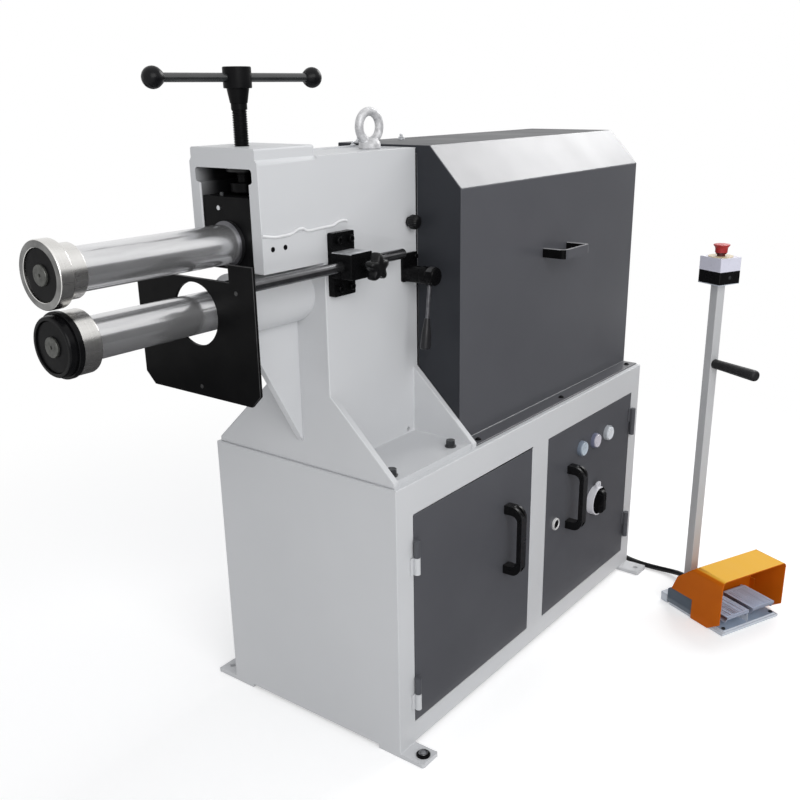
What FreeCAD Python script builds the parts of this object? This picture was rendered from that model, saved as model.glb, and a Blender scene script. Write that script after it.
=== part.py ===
"""Motor-driven beading and bending machine with a pedal station, in millimetres.

X runs along the door face with the rolls at -X, Y to the rear, Z up.
The origin is on the floor, at the centre of the four anchor holes.
"""
import FreeCAD
import Part
import math
import os

Vec = FreeCAD.Vector
X = Vec(1, 0, 0)
Y = Vec(0, 1, 0)
Z = Vec(0, 0, 1)

# Clearances
running_gap = 0.05
moving_gap = 0.4
seat_gap = 0.3

# Cabinet
cabinet_length = 1100
cabinet_depth = 496
cabinet_height = 600
cabinet_wall = 3
cabinet_top_plate = 12
jamb_depth = 20
shelf_rise = 280
shelf_setback = 53
divider_x = 6
foot_width = 54
foot_thickness = 10
foot_reach = 60
foot_overlap = 58
foot_corner = 6
anchor_edge_x = 27
anchor_edge_y = 20
anchor_hole_radius = 7
levelling_sleeve_wall = 3
levelling_collar_wall = 5
levelling_collar_height = 6

# Doors: sill, head and margins are the cabinet's frame round them
door_gap = 1.5
door_skin = 2
door_depth = 20
door_sill = 51.5
door_head = 70
left_door_margin = 56
right_door_margin = 47
left_door_post = 38
right_door_post = 39
hinge_radius = 7
hinge_pin_radius = 3.5
hinge_length = 75
hinge_leaf_width = 14
hinge_leaf_thickness = 3
left_hinge_edges = (89, 71.5)
right_hinge_edges = (81, 86.5)
handle_spacing = 150
handle_width = 24
handle_arm = 21
handle_bar = 12
handle_reach = 47
handle_corner = 26
handle_round = 4
handle_rise = 292.5
left_handle_edge = 110.5
right_handle_edge = 112.5

# Controls on the right door, from its hinge-free edge, its top or its bottom
button_edges = (169, 242.5, 316)
button_drop = 73.5
button_radius = 20
button_cap = 9
button_travel = 3
button_stem_radius = 8
switch_edge = 255
switch_rise = 233
switch_radius = 39
switch_reach = 20
switch_rim = 4
switch_recess = 12
switch_lug_width = 22
switch_lug_height = 14
switch_lug_hole_radius = 3.5
knob_grip_width = 17
knob_grip_reach = 16
lock_edge = 47
lock_rise = 239.5
lock_radius = 16
lock_reach = 6
lock_shank_radius = 9
lock_tongue_width = 16
lock_tongue_thickness = 3
lock_engagement = 3

# Electrical panel
panel_margin_left = 64
panel_margin_right = 97
panel_rise = 97
panel_height = 380
panel_thickness = 3
panel_standoff = 12
standoff_radius = 6
standoff_edge = 20
panel_edge = 40
contactor_count = 4
contactor_width = 45
contactor_pitch = 57
contactor_height = 80
contactor_depth = 85
contactor_drop = 60
terminal_rise = 50
terminal_height = 50
terminal_depth = 45
converter_rise = 140
converter_length = 90
converter_height = 60
converter_depth = 110
converter_edge = 30

# Column
column_setback = 6
column_length = 286
column_plate = 15
web_reach = 85
web_thickness = 12
flare_rise = 158
flare_reach = 239
base_plate_thickness = 12
base_plate_setback = 4
base_bolt_edge = 29
base_bolt_left_edge = 31
base_bolt_right_edge = 55
base_bolt_size = 18
drain_radius = 5
drain_edge = 21
drain_rise = 9

# Shafts
lower_shaft_rise = 356
shaft_distance = 110
shaft_radius = 35
journal_step = 5
bush_wall = 10
housing_wall = 12
lower_bush_length = 56
bush_recess = 4
upper_bush_wall = 5
upper_bush_length = 50
shaft_tapping_radius = 8
shaft_tapping_depth = 30

# Head
head_overhang = 157
head_above_lower_shaft = 62
head_above_upper_shaft = 144
cheek_thickness = 25
head_roof = 40
end_slot_height = 25
end_slot_wall = 15
head_partition_setback = 1
boss_setback_x = 10
boss_rise = 19
boss_shoulder = 7
boss_setback = 6
boss_bevel = 3
top_recess = 3
recess_edge_left = 9
recess_edge_right = 12
ridge_height = 69
ridge_step_height = 76
ridge_step = 101
ridge_proud = 1.5
side_hole_radius = 3
side_hole_depth = 10
side_hole_edges = (24, 55)
side_hole_rise = 42

# Rib below the lower housing
rib_thickness = 16
rib_inset = 46
rib_edge_drop = 109
rib_foot_setback = 13
rib_foot_rise = 72
rib_toe_drop = 22

# Upper arm that carries the upper shaft and tilts
arm_block_inset = 4
arm_block_length = 78
arm_block_height = 127
arm_block_drop = 46
arm_block_chamfer = 2
arm_side_gap = 0.6
arm_tube_wall = 6
arm_tube_setback = 4
arm_screw_radius = 4
arm_screw_y = 19
arm_screw_drop = 20
arm_screw_proud = 3
arm_screw_depth = 6
bush_face_proud = 8
pivot_setback = 27
pivot_pin_radius = 10
pivot_boss_wall = 10
pivot_knob_radius = 15
pivot_knob_length = 27

# Rolls
roll_reach = 349
roll_gap = 4
roll_flange_width = 24
upper_collar_step = 10
upper_collar_width = 30
lower_ring_reach = 370
lower_ring_nose_step = 3
lower_ring_nose_width = 13
lower_ring_flange_width = 10
lower_ring_groove = 1.5
lower_collar_step = 2
lower_collar_width = 33
roll_edge = 2
cap_recess = 8
cap_disc_thickness = 4
cap_rim = 12
cap_screw_radius = 16.5
cap_screw_proud = 2

# Gears
gear_teeth = 21
gear_slack = 5
gear_width = 36
gear_offset = 8
gear_hub_radius = 46
gear_backlash = 0.6
gear_end = 6

# Drive
gearbox_offset = 138
gearbox_length = 180
gearbox_radius = 85
gearbox_flange_radius = 105
gearbox_flange_thickness = 18
gearbox_band_proud = 8
gearbox_band_width = 30
shaft_in_gearbox = 140
motor_length = 270
motor_radius = 74
motor_fin_height = 8
motor_fin_thickness = 3
motor_fin_count = 24
cowl_length = 80
cowl_corner = 10
terminal_box_length = 120
terminal_box_width = 110
terminal_box_height = 60
stand_plate = 16
stand_half_width = 112
stand_base_before = 80
stand_base_behind = 230
stand_gusset = 10

# Pressure screw
screw_inset = 49
screw_radius = 13
screw_nose_radius = 8
screw_nose_length = 12
screw_collar_radius = 14
screw_collar_rise = 80
screw_collar_height = 10
screw_cone_radius = 15
screw_cone_top_radius = 19.5
screw_cone_height = 24
screw_hub_height = 35
screw_hub_radius = 24.5
screw_hub_edge = 2
nut_wall = 9
nut_flange = 8
nut_flange_thickness = 8
pad_radius = 24
pad_height = 20
pad_crown_radius = 60
tommy_bar_radius = 7.5
tommy_bar_half_length = 160
tommy_ball_radius = 18
tommy_bar_angle = -10

# Eye bolt
eye_setback = 42
eye_ring_radius = 28
eye_wire_radius = 8
eye_shank_radius = 10
eye_shank_length = 18
eye_collar_radius = 18
eye_collar_taper = 6
eye_collar_height = 9

# Hood
hood_overhang = 5
hood_setback = 52
hood_rear = 122
hood_rise = 5
hood_chamfer_y = 77
hood_chamfer_z = 81
hood_sheet = 2
hood_flange = 40
hood_flange_thickness = 3
hood_column_gap = 2
hood_cutout_drop = 12
hood_handle_x = 135
hood_handle_drop = 249
hood_handle_length = 120
hood_handle_reach = 60
hood_handle_height = 18
hood_handle_bar = 8
hood_handle_corner = 6
hood_screw_left_edge = 36
hood_screw_middle = 408
hood_screw_right_edge = 35
hood_screw_y_edge = 24
hood_screw_radius = 6
hood_screw_height = 4
hood_top_bolt_edges = (16, 164)
hood_top_bolt_y_edge = 44
hood_top_bolt_size = 10.2
hood_top_bolt_height = 5

# Depth gauge
gauge_reach = 86
gauge_thickness = 6
gauge_rear_y = 152
gauge_below_shaft = 148
gauge_above_shaft = 64
gauge_tab_above_shaft = 94
gauge_chamfer = 22
gauge_tab_width = 58
gauge_front_edge = 27
gauge_hole_radius = 56
gauge_pin_radius = 4
rod_above_shaft = 57
rod_depth = 21
rod_radius = 10
rod_length = 431
bracket_inset = 9
bracket_length = 61
bracket_below_rod = 60
bracket_above_rod = 59
bracket_thickness = 14
bracket_screw_edge = 14
bracket_screw_rise = 45
bracket_screw_radius = 7
bracket_screw_height = 8
clamp_overlap = 5
clamp_length = 60
clamp_below_rod = 23
clamp_above_rod = 25
clamp_thickness = 48
star_edge = 38
star_radius = 27
star_lobe_radius = 9
star_lobe_count = 5
star_lobe_step = 3
star_thickness = 25
star_neck = 16
star_neck_radius = 10.8
stud_radius = 5

# Axial lock lever of the lower shaft
lever_setback = 40
lever_above_shaft = 7
lever_flange_before = 15
lever_flange_behind = 33
lever_flange_below = 17
lever_flange_above = 41
lever_flange_thickness = 6
lever_hub_radius = 19
lever_fixed_step = 2
lever_fixed_length = 40
lever_turning_length = 34
lever_rod_radius = 4
lever_rod_end = 92
lever_grip_end = 150
lever_grip_radius = 11.5
lever_grip_neck = 6
lever_lean = 7

# Pedal station, in its own frame: U to the right, V to the rear
station_x = 314.3
station_y = -623.3
station_turn = -23.86
station_width = 204
station_length = 216
station_plate = 8
station_corner = 25
tray_thickness = 4
tray_margin = 8
tray_front = 4
tray_length = 118
guard_left = -4
guard_width = 230
guard_wall = 3
guard_front = 10
guard_top = 150
guard_corner = 14
guard_nose_z = 28
guard_nose_v = 49
guard_side_v = 109
guard_floor_gap = 1
guard_ridge_v = 104
guard_knee_v = 167
guard_knee_z = 98
guard_heel_v = 185
housing_front = 120
housing_rear = 200
housing_top = 55
housing_bevel_v = 16
housing_bevel_z = 8
pedal_starts = (13, 105)
pedal_width = 78
pedal_front = 0
pedal_top = 52
pedal_plate = 8
pedal_side = 18
pedal_side_thickness = 4
pedal_rib_count = 7
pedal_rib_height = 2
pedal_rib_margin = 6
pedal_axle_v = 106
pedal_axle_z = 34
pedal_axle_radius = 5
pedal_hub_radius = 9
pedal_bracket = 4
pedal_bracket_gap = 1
pedal_bracket_reach = 12
pedal_divider = 2
pedal_divider_front = 8

# Post with grip and stop box
post_u = 80
post_behind_housing = 1
post_size = 25
post_wall = 2
post_corner = 2
post_notch_gap = 0.5
box_bottom = 875
box_base_height = 30.5
box_lid_height = 32.5
box_width = 68
box_length = 72
box_corner = 3
box_floor = 4
box_wall = 14
knock_out_radius = 5
disc_radius = 30
disc_thickness = 1.5
stop_neck_radius = 13
stop_neck_height = 3
stop_body_radius = 15
stop_body_height = 14
stop_rim_radius = 20
stop_rim_height = 4
stop_cap_height = 3
stop_cap_edge = 4
stop_travel = 4
stop_stem_radius = 10
grip_z = 669
grip_length = 138
grip_radius = 11.5
grip_end_radius = 14
grip_round = 6

# Cable
cable_radius = 7
gland_radius = 13
gland_nut_step = 3
gland_length = 22
gland_y = 150
gland_z = 40
station_gland_u = 125
station_gland_z = 22
mains_gland_x = 420
mains_gland_z = 90
mains_gland_bore = 17

# Values that follow from the sizes above: cabinet and doors
half_length = cabinet_length / 2
half_depth = cabinet_depth / 2
door_face = -half_depth
cabinet_base = foot_thickness
cabinet_top = cabinet_base + cabinet_height
shelf_height = cabinet_base + shelf_rise
anchor_x = half_length - anchor_edge_x
anchor_y = half_depth + foot_reach - anchor_edge_y
levelling_sleeve_radius = anchor_hole_radius + levelling_sleeve_wall
levelling_collar_radius = levelling_sleeve_radius + levelling_collar_wall
door_bottom = cabinet_base + door_sill
door_top = cabinet_top - door_head
left_door_start = -half_length + left_door_margin
left_door_end = divider_x - left_door_post
right_door_start = divider_x + right_door_post
right_door_end = half_length - right_door_margin
hinge_y = door_face - hinge_radius - moving_gap
left_hinge_x = left_door_start - door_gap / 2
right_hinge_x = right_door_end + door_gap / 2
left_hinge_heights = (door_top - left_hinge_edges[0], door_bottom + left_hinge_edges[1])
right_hinge_heights = (door_top - right_hinge_edges[0], door_bottom + right_hinge_edges[1])
handle_height = door_bottom + handle_rise
left_handle_x = left_door_end - left_handle_edge
right_handle_x = right_door_start + right_handle_edge
button_x = [right_door_start + edge for edge in button_edges]
button_z = door_top - button_drop
switch_x = right_door_start + switch_edge
switch_z = door_bottom + switch_rise
lock_x = right_door_start + lock_edge
lock_z = door_bottom + lock_rise
lock_tongue_length = lock_edge + door_gap + cabinet_wall + lock_engagement
panel_start_x = divider_x + panel_margin_left
panel_end_x = half_length - cabinet_wall - panel_margin_right
panel_bottom = cabinet_base + cabinet_wall + panel_rise

# Values that follow: column, head and shafts
column_left = -half_length + column_setback
column_right = column_left + column_length
flare_top = cabinet_top + flare_rise
base_plate_top = cabinet_top + base_plate_thickness
base_plate_reach = flare_reach - base_plate_setback
base_bolt_y = flare_reach - base_bolt_edge
base_bolt_x = (column_left + base_bolt_left_edge, column_right - base_bolt_right_edge)
inner_left = column_left + column_plate
inner_right = column_right - column_plate
wall_inner = web_reach - web_thickness
lower_shaft_z = cabinet_top + lower_shaft_rise
upper_shaft_z = lower_shaft_z + shaft_distance
journal_radius = shaft_radius - journal_step
bush_radius = shaft_radius + bush_wall
housing_radius = bush_radius + housing_wall
head_left = column_left - head_overhang
head_bottom = lower_shaft_z + head_above_lower_shaft
head_top = upper_shaft_z + head_above_upper_shaft
end_opening_top = head_top - head_roof
end_slot_top = end_opening_top + end_slot_height
end_slot_half_width = web_reach - end_slot_wall
cheek_inner = web_reach - cheek_thickness
head_partition_x = column_left - head_partition_setback
boss_right = column_left - boss_setback_x
boss_top = head_top + boss_rise
ridge_step_x = head_left + ridge_step
side_hole_x = [head_left + edge for edge in side_hole_edges]
side_hole_z = head_bottom + side_hole_rise
rib_left = head_left + rib_inset
rib_edge_bottom = lower_shaft_z - rib_edge_drop
rib_foot_x = column_left - rib_foot_setback
rib_foot_z = cabinet_top + rib_foot_rise
arm_block_left = head_left + arm_block_inset
arm_block_right = arm_block_left + arm_block_length
arm_block_bottom = upper_shaft_z - arm_block_drop
arm_block_top = arm_block_bottom + arm_block_height
arm_bore_radius = shaft_radius + upper_bush_wall
arm_tube_radius = arm_bore_radius + arm_tube_wall
arm_tube_right = column_right - arm_tube_setback
pivot_x = column_right - pivot_setback
pivot_boss_radius = pivot_pin_radius + pivot_boss_wall

# Values that follow: rolls, gears and drive
roll_centre_left = head_left - roll_reach
roll_right = roll_centre_left + upper_collar_width
roll_flange_radius = (shaft_distance - roll_gap) / 2
upper_collar_radius = roll_flange_radius - upper_collar_step
upper_roll_left = roll_centre_left - roll_flange_width
lower_ring_x = head_left - lower_ring_reach
lower_ring_nose_radius = roll_flange_radius - lower_ring_nose_step
lower_collar_left = lower_ring_x + lower_ring_nose_width + lower_ring_flange_width
lower_collar_radius = roll_flange_radius - lower_collar_step
lower_roll_right = lower_collar_left + lower_collar_width
cap_disc_radius = roll_flange_radius - cap_rim
gear_module = (shaft_distance - gear_slack) / gear_teeth
gear_left = column_right + gear_offset
gear_right = gear_left + gear_width
gear_hub_length = gear_offset - moving_gap
gearbox_left = column_right + gearbox_offset
gearbox_right = gearbox_left + gearbox_length
lower_shaft_right = gearbox_left + shaft_in_gearbox
motor_right = gearbox_right + motor_length
stand_base_left = gearbox_left - stand_base_before
stand_base_right = gearbox_left + stand_base_behind

# Values that follow: screw, eye bolt and hood
screw_x = head_left + screw_inset
screw_collar_z = head_top + screw_collar_rise
screw_cone_z = screw_collar_z + screw_collar_height
screw_hub_z = screw_cone_z + screw_cone_height
screw_hub_top = screw_hub_z + screw_hub_height
nut_radius = screw_radius + nut_wall
nut_flange_radius = nut_radius + nut_flange
eye_x = column_right - eye_setback
hood_right = half_length + hood_overhang
hood_front = door_face + hood_setback
hood_top = head_top + hood_rise
hood_cutout_half_width = web_reach + hood_column_gap
hood_handle_z = hood_top - hood_handle_drop
hood_screw_x = (column_right + hood_screw_left_edge, column_right + hood_screw_middle,
                hood_right - hood_screw_right_edge)
hood_screw_y = hood_front - hood_screw_y_edge
hood_top_bolt_x = [column_right + edge for edge in hood_top_bolt_edges]
hood_top_bolt_y = hood_rear - hood_top_bolt_y_edge

# Values that follow: gauge and lever
clamp_rear_y = -web_reach - bracket_thickness
clamp_front_y = clamp_rear_y - clamp_thickness
rod_y = clamp_rear_y - rod_depth
rod_z = lower_shaft_z + rod_above_shaft
gauge_front_x = head_left - gauge_reach
gauge_front_y = rod_y - gauge_front_edge
gauge_bottom = lower_shaft_z - gauge_below_shaft
gauge_top = lower_shaft_z + gauge_above_shaft
gauge_tab_top = lower_shaft_z + gauge_tab_above_shaft
rod_left = gauge_front_x + gauge_thickness
rod_right = rod_left + rod_length
bracket_left = column_left + bracket_inset
bracket_right = bracket_left + bracket_length
bracket_bottom = rod_z - bracket_below_rod
bracket_top = rod_z + bracket_above_rod
bracket_screw_x = (bracket_left + bracket_screw_edge, bracket_right - bracket_screw_edge)
bracket_screw_z = (rod_z - bracket_screw_rise, rod_z + bracket_screw_rise)
clamp_left = bracket_left - clamp_overlap
clamp_right = clamp_left + clamp_length
clamp_bottom = rod_z - clamp_below_rod
clamp_top = rod_z + clamp_above_rod
star_x = clamp_left + star_edge
lever_x = column_right - lever_setback
lever_z = lower_shaft_z + lever_above_shaft

# Values that follow: pedal station and stop box
guard_right = guard_left + guard_width
post_v = housing_rear + post_behind_housing
box_split = box_bottom + box_base_height
box_top = box_split + box_lid_height


def box(x0, x1, y0, y1, z0, z1):
    """A box between two corners."""
    return Part.makeBox(x1 - x0, y1 - y0, z1 - z0, Vec(x0, y0, z0))


def cyl_x(radius, x0, x1, y, z):
    """A cylinder along X."""
    return Part.makeCylinder(radius, x1 - x0, Vec(x0, y, z), X)


def cyl_y(radius, y0, y1, x, z):
    """A cylinder along Y."""
    return Part.makeCylinder(radius, y1 - y0, Vec(x, y0, z), Y)


def cyl_z(radius, z0, z1, x, y):
    """A cylinder along Z."""
    return Part.makeCylinder(radius, z1 - z0, Vec(x, y, z0), Z)


def tube_x(outer, inner, x0, x1, y, z):
    """A tube along X."""
    return cyl_x(outer, x0, x1, y, z).cut(cyl_x(inner, x0 - 1, x1 + 1, y, z))


def prism(points, direction):
    """A straight extrusion of a closed outline of points."""
    wire = Part.makePolygon(list(points) + [points[0]])
    return Part.Face(wire).extrude(direction)


def prism_x(outline, x0, x1):
    """Extrude a (y, z) outline along X."""
    return prism([Vec(x0, y, z) for y, z in outline], Vec(x1 - x0, 0, 0))


def prism_y(outline, y0, y1):
    """Extrude an (x, z) outline along Y."""
    return prism([Vec(x, y0, z) for x, z in outline], Vec(0, y1 - y0, 0))


def prism_z(outline, z0, z1):
    """Extrude an (x, y) outline along Z."""
    return prism([Vec(x, y, z0) for x, y in outline], Vec(0, 0, z1 - z0))


def lathe(outline, base, axis, side):
    """Turn an (along axis, radius) outline round an axis through base."""
    points = [base + axis * along + side * radius for along, radius in outline]
    wire = Part.makePolygon(points + [points[0]])
    return Part.Face(wire).revolve(base, axis, 360)


def fused(shapes):
    """One solid out of several that meet."""
    result = shapes[0].multiFuse(list(shapes[1:]))
    return result.removeSplitter()


def rounded(shape, radius, chosen):
    """Round the straight or curved edges that a test chooses."""
    edges = [edge for edge in shape.Edges if chosen(edge)]
    return shape.makeFillet(radius, edges)


def along(edge, direction):
    """Whether an edge is straight and runs along a direction."""
    if not isinstance(edge.Curve, Part.Line):
        return False
    return edge.tangentAt(edge.FirstParameter).cross(direction).Length < 1e-6


def hex_head(width, height, base, direction):
    """A hexagon head whose outer radius follows from its width over flats."""
    radius = width / math.sqrt(3)
    across = X if abs(direction.dot(X)) < 0.5 else Y
    other = direction.cross(across)
    turns = [math.radians(60 * k) for k in range(6)]
    points = [base + across * (radius * math.cos(t)) + other * (radius * math.sin(t)) for t in turns]
    return prism(points, direction * height)


def station(shape):
    """Place a shape from the pedal station's frame into the machine's frame."""
    placed = shape.copy()
    turn = FreeCAD.Rotation(Z, station_turn)
    placed.Placement = FreeCAD.Placement(Vec(station_x, station_y, 0), turn).multiply(placed.Placement)
    return placed


def station_point(u, v, z):
    """A point of the pedal station in the machine's frame."""
    return FreeCAD.Rotation(Z, station_turn).multVec(Vec(u, v, z)) + Vec(station_x, station_y, 0)


def save(name, *shapes):
    """Write one named piece, or a group of separate solids, as STEP."""
    shape = shapes[0] if len(shapes) == 1 else Part.makeCompound(list(shapes))
    if not shape.isValid():
        print("not valid:", name)
    shape.exportStep("parts/" + name + ".step")
    print(name, len(shape.Solids), round(shape.Volume / 1000, 1), "cm3")


def foot_tab(side_x, side_y):
    """One floor tab with its anchor hole."""
    outer_x = side_x * half_length
    inner_x = outer_x - side_x * foot_width
    outer_y = side_y * (half_depth + foot_reach)
    inner_y = side_y * (half_depth - foot_overlap)
    tab = box(min(inner_x, outer_x), max(inner_x, outer_x), min(inner_y, outer_y), max(inner_y, outer_y),
              0, foot_thickness)
    tab = rounded(tab, foot_corner, lambda e: along(e, Z) and abs(abs(e.CenterOfMass.y) - abs(outer_y)) < 1)
    hole_radius = anchor_hole_radius
    if side_x < 0 and side_y < 0:
        hole_radius = levelling_sleeve_radius
    return tab.cut(cyl_z(hole_radius, -1, foot_thickness + 1, side_x * anchor_x, side_y * anchor_y))


def door_opening(start, end):
    """The opening of one door and the jamb frame round it."""
    wall = cabinet_wall
    x0, x1 = start - door_gap, end + door_gap
    z0, z1 = door_bottom - door_gap, door_top + door_gap
    hole = box(x0, x1, door_face - 1, door_face + jamb_depth + wall + 1, z0, z1)
    frame = box(x0 - wall, x1 + wall, door_face + wall / 2, door_face + wall + jamb_depth, z0 - wall, z1 + wall)
    return hole, frame


def cabinet():
    """Cabinet shell with door openings, shelf, divider and floor tabs, welded in one."""
    wall = cabinet_wall
    shell = box(-half_length, half_length, -half_depth, half_depth, cabinet_base, cabinet_top)
    inside = box(-half_length + wall, half_length - wall, -half_depth + wall, half_depth - wall,
                 cabinet_base + wall, cabinet_top - cabinet_top_plate)
    shell = shell.cut(inside)
    left_hole, left_frame = door_opening(left_door_start, left_door_end)
    right_hole, right_frame = door_opening(right_door_start, right_door_end)
    divider = box(divider_x - wall / 2, divider_x + wall / 2, -half_depth + wall, half_depth - wall,
                  cabinet_base + wall, cabinet_top - cabinet_top_plate)
    shelf = box(-half_length + wall, divider_x, door_face + shelf_setback, half_depth - wall,
                shelf_height, shelf_height + wall)
    tabs = [foot_tab(sx, sy) for sx in (-1, 1) for sy in (-1, 1)]
    body = fused([shell, left_frame, right_frame, divider, shelf] + tabs)
    body = body.cut(left_hole).cut(right_hole)
    body = body.cut(cyl_x(cable_radius, half_length - wall - 1, half_length + 1, gland_y, gland_z))
    return body.cut(cyl_y(cable_radius, half_depth - wall - 1, half_depth + 1, mains_gland_x, mains_gland_z))


def levelling_bush():
    """Hollow levelling sleeve with its collar, in the front left foot."""
    x = -anchor_x
    y = -anchor_y
    top = foot_thickness + levelling_collar_height
    bore = cyl_z(anchor_hole_radius, -1, top + 9, x, y)
    sleeve = cyl_z(levelling_sleeve_radius, 0.5, top + 1, x, y).cut(bore)
    collar = cyl_z(levelling_collar_radius, foot_thickness, top, x, y)
    collar = collar.makeChamfer(levelling_collar_height / 2, [
        e for e in collar.Edges if e.CenterOfMass.z > top - 0.1 and e.Length > 10])
    collar = collar.cut(cyl_z(levelling_sleeve_radius, -1, top + 9, x, y))
    return sleeve, collar


def hinge_lower_half(x, middle, side):
    """Fixed half of a weld-on hinge with its pin; side is where the frame lies."""
    bottom = middle - hinge_length / 2
    barrel = cyl_z(hinge_radius, bottom, middle - moving_gap, x, hinge_y)
    leaf = box(min(x, x + side * hinge_leaf_width), max(x, x + side * hinge_leaf_width),
               door_face - hinge_leaf_thickness, door_face, bottom, middle - moving_gap)
    pin = cyl_z(hinge_pin_radius, middle - hinge_length / 4, middle + hinge_length / 3, x, hinge_y)
    return fused([barrel, leaf, pin])


def hinge_upper_half(x, middle, side):
    """Half of a hinge that is welded to the door; side is where the door lies."""
    top = middle + hinge_length / 2
    barrel = cyl_z(hinge_radius, middle + moving_gap, top, x, hinge_y)
    leaf = box(min(x, x + side * hinge_leaf_width), max(x, x + side * hinge_leaf_width),
               door_face - hinge_leaf_thickness, door_face, middle + moving_gap, top)
    bore = cyl_z(hinge_pin_radius + running_gap, middle - 1, middle + hinge_length / 3 + 1, x, hinge_y)
    return fused([barrel, leaf]).cut(bore)


def door(start, end, hinge_x, heights, side, holes):
    """Door pan with returned edges, its holes and its hinge halves."""
    pan = box(start, end, door_face, door_face + door_depth, door_bottom, door_top)
    pan = pan.cut(box(start + door_skin, end - door_skin, door_face + door_skin, door_face + door_depth + 1,
                      door_bottom + door_skin, door_top - door_skin))
    for radius, x, z in holes:
        pan = pan.cut(cyl_y(radius, door_face - 1, door_face + door_skin + 1, x, z))
    return [pan] + [hinge_upper_half(hinge_x, height, side) for height in heights]


def door_handle(x):
    """Bridge handle: two arms and a bar with rounded corners."""
    half = handle_spacing / 2 + handle_arm / 2
    z0, z1 = handle_height - half, handle_height + half
    body = box(x - handle_width / 2, x + handle_width / 2, door_face - handle_reach, door_face, z0, z1)
    front = door_face - handle_reach
    body = rounded(body, handle_corner, lambda e: along(e, X) and e.CenterOfMass.y < front + 1)
    gap = box(x - handle_width, x + handle_width, front + handle_bar, door_face + 1,
              z0 + handle_arm, z1 - handle_arm)
    inner_corner = handle_corner - handle_bar
    gap = rounded(gap, inner_corner, lambda e: along(e, X) and e.CenterOfMass.y < front + handle_bar + 1)
    body = body.cut(gap)
    return rounded(body, handle_round, lambda e: along(e, Z) and e.CenterOfMass.y < front + 1)


def push_button(x):
    """Round cap on a stem that slides through the door."""
    cap_back = door_face - button_travel - 1
    cap = cyl_y(button_radius, cap_back - button_cap, cap_back, x, button_z)
    cap = rounded(cap, 2, lambda e: e.CenterOfMass.y < cap_back - button_cap + 0.1 and e.Length > 10)
    stem = cyl_y(button_stem_radius, cap_back - 1, door_face + door_depth / 2, x, button_z)
    return fused([cap, stem])


def switch_shroud():
    """Round shroud of the main switch with its padlock lug."""
    front = door_face - switch_reach
    body = cyl_y(switch_radius, front, door_face, switch_x, switch_z)
    half = switch_lug_width / 2
    lug_top = switch_z + switch_radius + switch_lug_height
    lug = box(switch_x - half, switch_x + half, front + 4, front + 10, switch_z, lug_top)
    lug = rounded(lug, 6, lambda e: along(e, Y) and e.CenterOfMass.z > lug_top - 1)
    hole_z = lug_top - 2 * switch_lug_hole_radius - 1
    lug = lug.cut(cyl_y(switch_lug_hole_radius, front, door_face, switch_x, hole_z))
    body = fused([body, lug])
    recess = cyl_y(switch_radius - switch_rim, front - 1, front + switch_recess, switch_x, switch_z)
    return body.cut(recess).cut(cyl_y(lock_shank_radius, front, door_face + 1, switch_x, switch_z))


def switch_knob():
    """Rotary knob with a grip bar, sunk into the shroud."""
    front = door_face - switch_reach
    floor = front + switch_recess
    disc_radius_knob = switch_radius - switch_rim - moving_gap * 2
    disc = cyl_y(disc_radius_knob, front + 4, floor - seat_gap, switch_x, switch_z)
    grip_top = switch_z + disc_radius_knob - 2
    grip_bottom = switch_z - disc_radius_knob + 2
    grip = box(switch_x - knob_grip_width / 2, switch_x + knob_grip_width / 2,
               front - knob_grip_reach, front + 5, grip_bottom, grip_top)
    grip = rounded(grip, 4, lambda e: e.CenterOfMass.y < front - knob_grip_reach + 0.1)
    spindle = cyl_y(lock_shank_radius - running_gap, front + 5, door_face + door_depth, switch_x, switch_z)
    return fused([disc, grip, spindle])


def cam_lock():
    """Quarter-turn lock with a key slot outside and a tongue inside, shown unlocked."""
    head = cyl_y(lock_radius, door_face - lock_reach, door_face - seat_gap, lock_x, lock_z)
    head = head.makeChamfer(1.5, [e for e in head.Edges if e.CenterOfMass.y < door_face - lock_reach + 0.1
                                  and e.Length > 10])
    tongue_y = door_face + cabinet_wall + jamb_depth + 1
    tongue_end = tongue_y + lock_tongue_thickness
    shank = cyl_y(lock_shank_radius, door_face - 1, tongue_end, lock_x, lock_z)
    half = lock_tongue_width / 2
    tongue = box(lock_x - half, lock_x + half, tongue_y, tongue_end,
                 lock_z - lock_tongue_length, lock_z + half / 2)
    slot = box(lock_x - 1.5, lock_x + 1.5, door_face - lock_reach - 1, door_face - lock_reach + 3,
               lock_z - 6, lock_z + 6)
    return fused([head, shank, tongue]).cut(slot)


def electrical_panel():
    """Mounting plate on standoffs at the rear wall, with contactors and a terminal strip."""
    wall_y = half_depth - cabinet_wall
    plate_y = wall_y - panel_standoff - panel_thickness
    x0, x1 = panel_start_x, panel_end_x
    z1 = panel_bottom + panel_height
    solids = [box(x0, x1, plate_y, plate_y + panel_thickness, panel_bottom, z1)]
    for x in (x0 + standoff_edge, x1 - standoff_edge):
        for z in (panel_bottom + standoff_edge, z1 - standoff_edge):
            solids.append(cyl_y(standoff_radius, plate_y + panel_thickness, wall_y, x, z))
    contactor_z = z1 - contactor_drop - contactor_height
    for k in range(contactor_count):
        x = x0 + panel_edge + k * contactor_pitch
        solids.append(box(x, x + contactor_width, plate_y - contactor_depth, plate_y,
                          contactor_z, contactor_z + contactor_height))
    strip_z = panel_bottom + terminal_rise
    solids.append(box(x0 + panel_edge, x1 - panel_edge, plate_y - terminal_depth, plate_y,
                      strip_z, strip_z + terminal_height))
    converter_z = panel_bottom + converter_rise
    converter_right = x1 - converter_edge
    solids.append(box(converter_right - converter_length, converter_right, plate_y - converter_depth, plate_y,
                      converter_z, converter_z + converter_height))
    return solids


def column_plate_outline():
    """(y, z) outline of an upright with its flared foot."""
    half = [(-web_reach, head_bottom), (-web_reach, flare_top), (-flare_reach, base_plate_top),
            (-flare_reach, cabinet_top)]
    return half + [(-y, z) for y, z in reversed(half)]


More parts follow.
